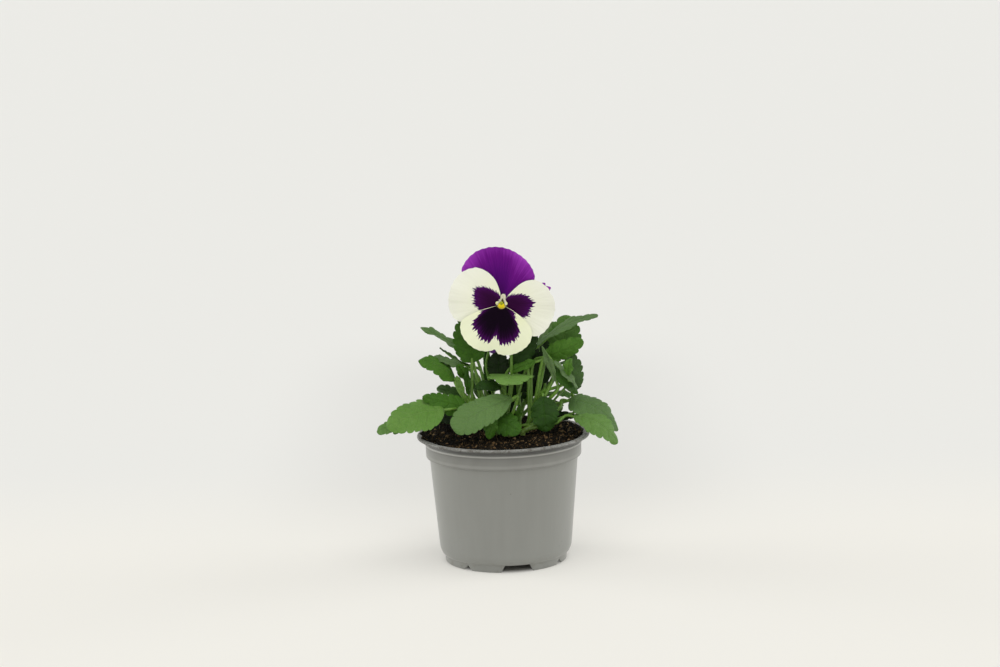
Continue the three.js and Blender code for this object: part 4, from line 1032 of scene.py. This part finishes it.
def petal_velvet(name, blotch):
    """White petal with a feathered blotch, or purple all over where there is no blotch."""
    finish = Finish(name, Specular_IOR_Level=0.06, Subsurface_Weight=0.12, Subsurface_Scale=0.0012,
                    Subsurface_Radius=(0.8, 0.7, 0.8))
    x, y, across = (finish.mark(word) for word in ("right", "up", "across"))
    radius = (x * x + y * y).maths("SQRT")
    turn = y.maths("ARCTAN2", x) * (180 / math.pi)
    if name == "petal_side_left_velvet":
        # This petal lies across the place where the turn jumps from 180 to -180 degrees
        turn = turn.maths("WRAP", 300.0, -60.0)
    flow = x.node("ShaderNodeCombineXYZ", {}, {0: turn, 1: radius * 0.05, 2: 0.0})
    streak = flow.grain(0.55, 4, 0.65)
    thread = flow.grain(1.7, 3, 0.6)
    if not blotch:
        # Lighter towards both sides, and a painted highlight along the rim at the top
        sides = turn.ease(88, 62) * 0.22 + turn.ease(104, 132) * 0.17
        top = radius.ease(26, 32) * turn.ease(92, 78) * 0.1
        depth = radius * 0.021 + sides + top + (streak - 0.5) * 0.36 + (thread - 0.5) * 0.12
        purple = depth.ramp([
            (0.1, (0.045, 0.001, 0.085)), (0.38, (0.080, 0.002, 0.145)), (0.62, (0.135, 0.005, 0.200)),
            (0.84, (0.28, 0.030, 0.38)), (1.0, (0.42, 0.085, 0.52)),
        ])
        finish.give("Base Color", purple)
        finish.give("Roughness", 0.62 + thread * 0.2)
        finish.bumps(thread * 0.7 + streak * 0.5, 0.0002)
        return finish.material
    first, last = blotch[0][0], blotch[-1][0]
    profile = [((angle - first) / (last - first), reach / 25) for angle, reach in blotch]
    reach = ((turn - first) / (last - first)).ramp(profile)
    reach = reach.node("ShaderNodeRGBToBW", {}, {0: reach}) * 25
    wander = flow.grain(0.12, 2) * 3
    spikes = (turn / 5.2 + wander).saw()
    hairs = (turn / 1.9 + wander * 2).saw()
    feather = (spikes**1.3 - 0.5) * (0.9 + flow.grain(0.3, 1) * 2.6) + (hairs - 0.5) * 0.9
    inside = reach + feather - radius
    mask = inside.ease(-0.12, 0.18) * abs(across).ease(0.992, 0.968) * radius.ease(2.2, 3.0)
    lowest = name == "petal_lower_velvet"
    core = (inside / 9).ramp([
        (0.0, (0.090, 0.012, 0.165)), (0.1, (0.056, 0.003, 0.084)),
        (0.5, (0.011, 0.0005, 0.015) if lowest else (0.034, 0.0015, 0.039)),
        (1.0, (0.002, 0.0002, 0.0025) if lowest else (0.022, 0.001, 0.022)),
    ])
    core = ((1 - thread) * (0.08 if lowest else 0.24)).mix(core, (0.060, 0.002, 0.085, 1))
    cream = (radius * 0.03 + (streak - 0.5) * 0.2).ramp([
        (0.2, (0.86, 0.89, 0.55) if lowest else (0.84, 0.86, 0.62)),
        (0.6, (0.87, 0.90, 0.66) if lowest else (0.85, 0.86, 0.71)),
        (0.95, (0.87, 0.91, 0.64) if lowest else (0.86, 0.865, 0.75)),
    ])
    faint = (thread.ease(0.45, 0.75) * 0.05).mix(cream, (0.66, 0.70, 0.46, 1))
    throat = radius.ease(3.4, 2.4) * 0.9
    throated = throat.mix(faint, (0.80, 0.62, 0.05, 1) if lowest else (0.80, 0.80, 0.50, 1))
    finish.give("Base Color", mask.mix(throated, core))
    finish.give("Roughness", 0.6 + thread * 0.2)
    finish.bumps(thread * 0.6 + streak * 0.4, 0.00016)
    return finish.material


for name, (layer, rim) in PETALS.items():
    sheet, along, across = petal_sheet(layer, rim)
    skin, sides = two_faced(on_flower(sheet), (0.55 - 0.3 * along**2)[..., None])
    marks = {"across": across, "right": sheet[..., 0], "up": sheet[..., 1]}
    marks = {word: np.tile(values.ravel(), 2) for word, values in marks.items()}
    velvet = petal_velvet(name + "_velvet", BLOTCHES.get(name))
    petal = finished(name + "_velvet", velvet, 60, skin, sides, marks)
    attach(petal, "root")
    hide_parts(name)
    "petal_white" if name in BLOTCHES else "petal_purple"

# Eye
# The throat of the bloom: a yellow lip on the lowest petal, the green beak of the stigma above it,
# and on each side petal a cream tuft of short club-shaped hairs that meet in an upturned V.
# Each rounded lump: where it is, its size and its tone, from cream over yellow and green to dark
LUMPS = [
    ((-0.1, -0.5, 0.75), (1.95, 1.7, 0.95), 0.45), ((0.0, 0.8, 1.2), (1.15, 1.1, 0.9), 0.72),
    ((0.0, 0.45, 2.0), (0.4, 0.32, 0.3), 0.8), ((0.3, 2.0, 0.1), (1.0, 0.8, 0.8), 0.92),
    ((-2.4, 0.8, -0.6), (1.25, 1.0, 1.0), 0.22), ((2.6, 0.4, -0.6), (0.95, 1.05, 1.0), 0.22),
    ((1.0, 4.2, -1.7), (1.55, 1.9, 0.9), 0.08), ((0.6, 3.4, -0.9), (0.25, 1.3, 0.35), 0.88),
]
# The six knots that each tuft follows from its foot to its top: across and up
TUFTS = [
    (-1, (-2.9, -2.1, -0.6, -0.1, 0.4, 1.2), (0.3, 1.5, 2.8, 4.0, 5.1, 5.5)),
    (1, (2.9, 2.5, 2.0, 1.9, 2.2, 1.4), (0.0, 1.5, 2.8, 4.0, 5.0, 5.5)),
]


def throat_skin():
    """Cream, yellow, green or dark tissue, as each point's tone says."""
    finish = Finish("throat_skin", Specular_IOR_Level=0.15)
    tone = finish.mark("tone")
    spots = finish.place.grain(1800, 2)
    finish.give("Base Color", (tone + (spots - 0.5) * 0.1).ramp([
        (0.0, (0.87, 0.84, 0.68)), (0.25, (0.80, 0.82, 0.34)), (0.42, (0.78, 0.63, 0.010)),
        (0.6, (0.72, 0.52, 0.006)), (0.72, (0.34, 0.38, 0.02)), (0.86, (0.14, 0.13, 0.02)),
        (1.0, (0.03, 0.025, 0.005)),
    ]))
    finish.give("Roughness", 0.4 + spots * 0.2)
    finish.bumps(spots, 0.0001)
    return finish.material


def dome(centre, size, tone, rings=9, steps=20):
    """A closed rounded lump in the flower's axes, flat behind, with what its points carry."""
    points = [(0, 0, 1)]
    for polar in np.arange(1, rings + 1) * math.pi / (rings + 1):
        points += circle(math.sin(polar), max(math.cos(polar), -0.4), steps)
    points = np.array(points + [(0, 0, -0.4)]) * size + centre
    return on_flower(points), turned_faces(rings, steps), {"tone": np.full(len(points), tone)}


THROAT = throat_skin()
eye = finished("flower_throat", THROAT, 180, *gathered(dome(*lump) for lump in LUMPS))
tuft_lines = []
draw = np.random.default_rng(21)
for side, right, up in TUFTS:
    for _ in range(110):
        share = draw.uniform(0, 5)
        x = np.interp(share, range(6), right) + draw.normal(0, 0.26)
        y = np.interp(share, range(6), up) + draw.normal(0, 0.26)
        level = -0.8 if share < 3.5 else -1.3
        lean = (-side * draw.uniform(0.1, 0.7), draw.uniform(-0.4, 0.1))
        length = draw.uniform(1.3, 2.3)
        line = [(x + lean[0] * t, y + lean[1] * t, level + length * t) for t in (0, 0.35, 0.7, 0.9, 1.0)]
        tuft_lines.append((on_flower(line), (0.12, 0.13, 0.2, 0.2, 0.1)))
joined(eye, [stalks("throat_tufts", tuft_lines, THROAT, 6)])
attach(eye, "root")
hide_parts("flower_eye")

# Bud stalk and bud
# A second flower to come: a closed bud of rolled purple petals that nods from a thin stalk behind
# the bloom, held by five green sepals.
BUD_TOP = Vector((-4, -6, 142))
BUD_TIP = Vector((-5.4, -8, 128.3))
BUD_LENGTH = (BUD_TOP - BUD_TIP).length
bud_turn = Vector((0, 0, 1)).rotation_difference(BUD_TOP - BUD_TIP).to_matrix().to_4x4()
BUD = Matrix.Translation(BUD_TOP) @ bud_turn
# The bud's radius at shares of its length
BUD_SHARES = (0.1, 0.16, 0.3, 0.45, 0.6, 0.72, 0.86, 0.95, 1)
BUD_RADII = (0, 2.2, 2.8, 3.0, 2.85, 2.6, 2.2, 1.75, 0.5)


def bud_sepal(turn):
    """A sepal pressed to the bud at a turn round it, as a sheet."""
    share, side = np.meshgrid(np.linspace(0, 1, 12), np.linspace(-1, 1, 7), indexing="ij")
    radius = np.interp(share, (0, 0.25, 0.6, 1), (1.6, 3.35, 3.95, 4.0)) - 0.12 * side**2
    aside = side * np.interp(share, (0, 0.25, 0.6, 1), (0.7, 1.4, 1.3, 0.08))
    x = radius * math.cos(turn) - aside * math.sin(turn)
    y = radius * math.sin(turn) + aside * math.cos(turn)
    return np.stack([x, y, -0.1 - 9.5 * share], -1)[:, ::-1], share, side


bud_line = buried(3, 3.5) + [(1, 4, 100), (-3, 4, 125), (-5, 1, 143), (-5.2, -2.5, 147)]
bud_line += [tuple(p) for p in on_flower([(0, 0, 2.5), (0, 0, -0.2)], BUD)]
cap = on_flower([(0, 0, z) for z in (0.5, 0.1, -0.6, -1.2)], BUD)
bud_stalk = stalks("bud_stalk_green", [
    (smooth_line(bud_line, 80), np.linspace(1.05, 0.9, 80)), (cap, (1.0, 1.6, 2.3, 2.2)),
], STALK_SKIN, 12)
wraps = [bud_sepal(0.3 + i * math.pi * 0.4) for i in range(5)]
joined(bud_stalk, [sepals("bud_sepals", wraps, BUD, 0.2)])
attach(bud_stalk, "root")
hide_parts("bud_stalk")

bud_points = [(0, 0, -1.5)]
levels = np.linspace(0, 1, 26)[1:-1]
for level in levels:
    drop = 1.5 + (BUD_LENGTH - 1.5) * level
    radius = np.interp(drop / BUD_LENGTH, BUD_SHARES, BUD_RADII)
    for turn in np.arange(40) * math.pi / 20:
        # The rolled petals leave soft ridges that wind down the bud
        roll = 1 + 0.07 * level * math.sin(3 * turn + level * 7) + 0.03 * math.sin(7 * turn - level * 9)
        bud_points.append((radius * roll * math.cos(turn), radius * roll * math.sin(turn), -drop))
bud_points.append((0, 0, -BUD_LENGTH))


def bud_velvet():
    """Velvety purple, streaked along the folds and lighter towards the tip."""
    finish = Finish("bud_velvet", Specular_IOR_Level=0.25, Sheen_Weight=0.25, Sheen_Roughness=0.4)
    folds = finish.place.stretched((1, 1, 0.2)).grain(900, 3)
    low = axis_of(finish.place, 2).ease(0.14, 0.127)
    finish.give("Base Color", (folds * 0.5 + low * 0.5).ramp([
        (0.2, (0.03, 0.006, 0.05)), (0.6, (0.075, 0.008, 0.15)), (0.95, (0.16, 0.03, 0.30)),
    ]))
    finish.give("Roughness", 0.6 + folds * 0.2)
    finish.bumps(folds, 0.0002)
    return finish.material


bud_faces = turned_faces(len(levels), 40)
bud = finished("bud_petals", bud_velvet(), 180, on_flower(bud_points, BUD), bud_faces)
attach(bud, "root")
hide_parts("bud")

# Studio
# A pale sheet that the pot stands on, soft light from above and from both sides, and the camera
# where the photograph was taken from: its focal length is given in widths of the picture.
FOCAL_LENGTH = 2.4853
SENSOR = 36
CAMERA_PITCH = math.radians(9.68)
CAMERA_ROLL = math.radians(-1.43)
CAMERA_AWAY = 1.5
CAMERA_AIM = Vector((POT_AXIS[0] - 0.46 * MM, POT_AXIS[1], 139.06 * MM))


def studio_sheet():
    """Pale matt sheet with a faint glow that lifts its shadows, and a painted soft shadow behind the pot."""
    finish = Finish("studio_sheet", Specular_IOR_Level=0.1, Roughness=0.7, Emission_Strength=0.34)
    away = axis_of(finish.place, 1)
    pale = away.ease(0.0, 0.3).mix((0.515, 0.502, 0.458, 1), (0.47, 0.47, 0.448, 1))
    # No glow under the foot ring, so that the notches stay dark
    aside = axis_of(finish.place, 0) - float(POT_AXIS[0])
    behind = away - float(POT_AXIS[1])
    out = (aside * aside + behind * behind).maths("SQRT")
    # A painted soft shadow darkens the sheet in a strip behind the pot
    shadow_strip = abs(aside).ease(0.2, 0.06) * behind.ease(0.02, 0.22) * behind.ease(0.85, 0.55)
    finish.give("Base Color", (shadow_strip * 0.16).mix(pale, (0.02, 0.02, 0.02, 1)))
    finish.give("Emission Color", out.ease(0.030, 0.040).mix((0, 0, 0, 1), (1.0, 0.99, 0.955, 1)))
    return finish.material


floor_corners = [(-30, -8, 0), (30, -8, 0), (30, 60, 0), (-30, 60, 0)]
studio_floor = set_out("studio_floor", bare_mesh("studio_floor", floor_corners, [], [(0, 1, 2, 3)]))
studio_floor.data.materials.append(studio_sheet())
studio_floor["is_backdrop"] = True

world = bpy.data.worlds.new("studio_air")
bpy.context.scene.world = world
world.use_nodes = True
air = world.node_tree.nodes["Background"]
air.inputs["Color"].default_value = (1.0, 0.995, 0.98, 1)
air.inputs["Strength"].default_value = 0.5
for name, place, spread, power in (
    ("light_above", (0.1, -0.3, 1.0), 45, 0.95),
    ("light_front", (-0.1, -1.0, 0.5), 50, 0.6),
    ("light_left", (-1.0, 0.3, 0.25), 40, 1.18),
    ("light_right", (1.0, 0.3, 0.25), 40, 1.15),
):
    lamp = bpy.data.lights.new(name, "SUN")
    lamp.angle = math.radians(spread)
    lamp.energy = power
    light = set_out(name, lamp)
    light.location = place
    light.rotation_euler = (-Vector(place)).to_track_quat("-Z", "Y").to_euler()
bpy.context.scene.view_settings.view_transform = "Standard"

lens = bpy.data.cameras.new("photo_camera")
lens.sensor_width = SENSOR
lens.lens = FOCAL_LENGTH * SENSOR
lens.clip_end = 200
camera = set_out("photo_camera", lens)
camera.location = CAMERA_AIM + Vector((0, -math.cos(CAMERA_PITCH), math.sin(CAMERA_PITCH))) * CAMERA_AWAY
pitched = Euler((math.pi / 2 - CAMERA_PITCH, 0, 0)).to_matrix()
camera.rotation_euler = (pitched @ Matrix.Rotation(CAMERA_ROLL, 3, "Z")).to_euler()
bpy.context.scene.camera = camera

low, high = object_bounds()
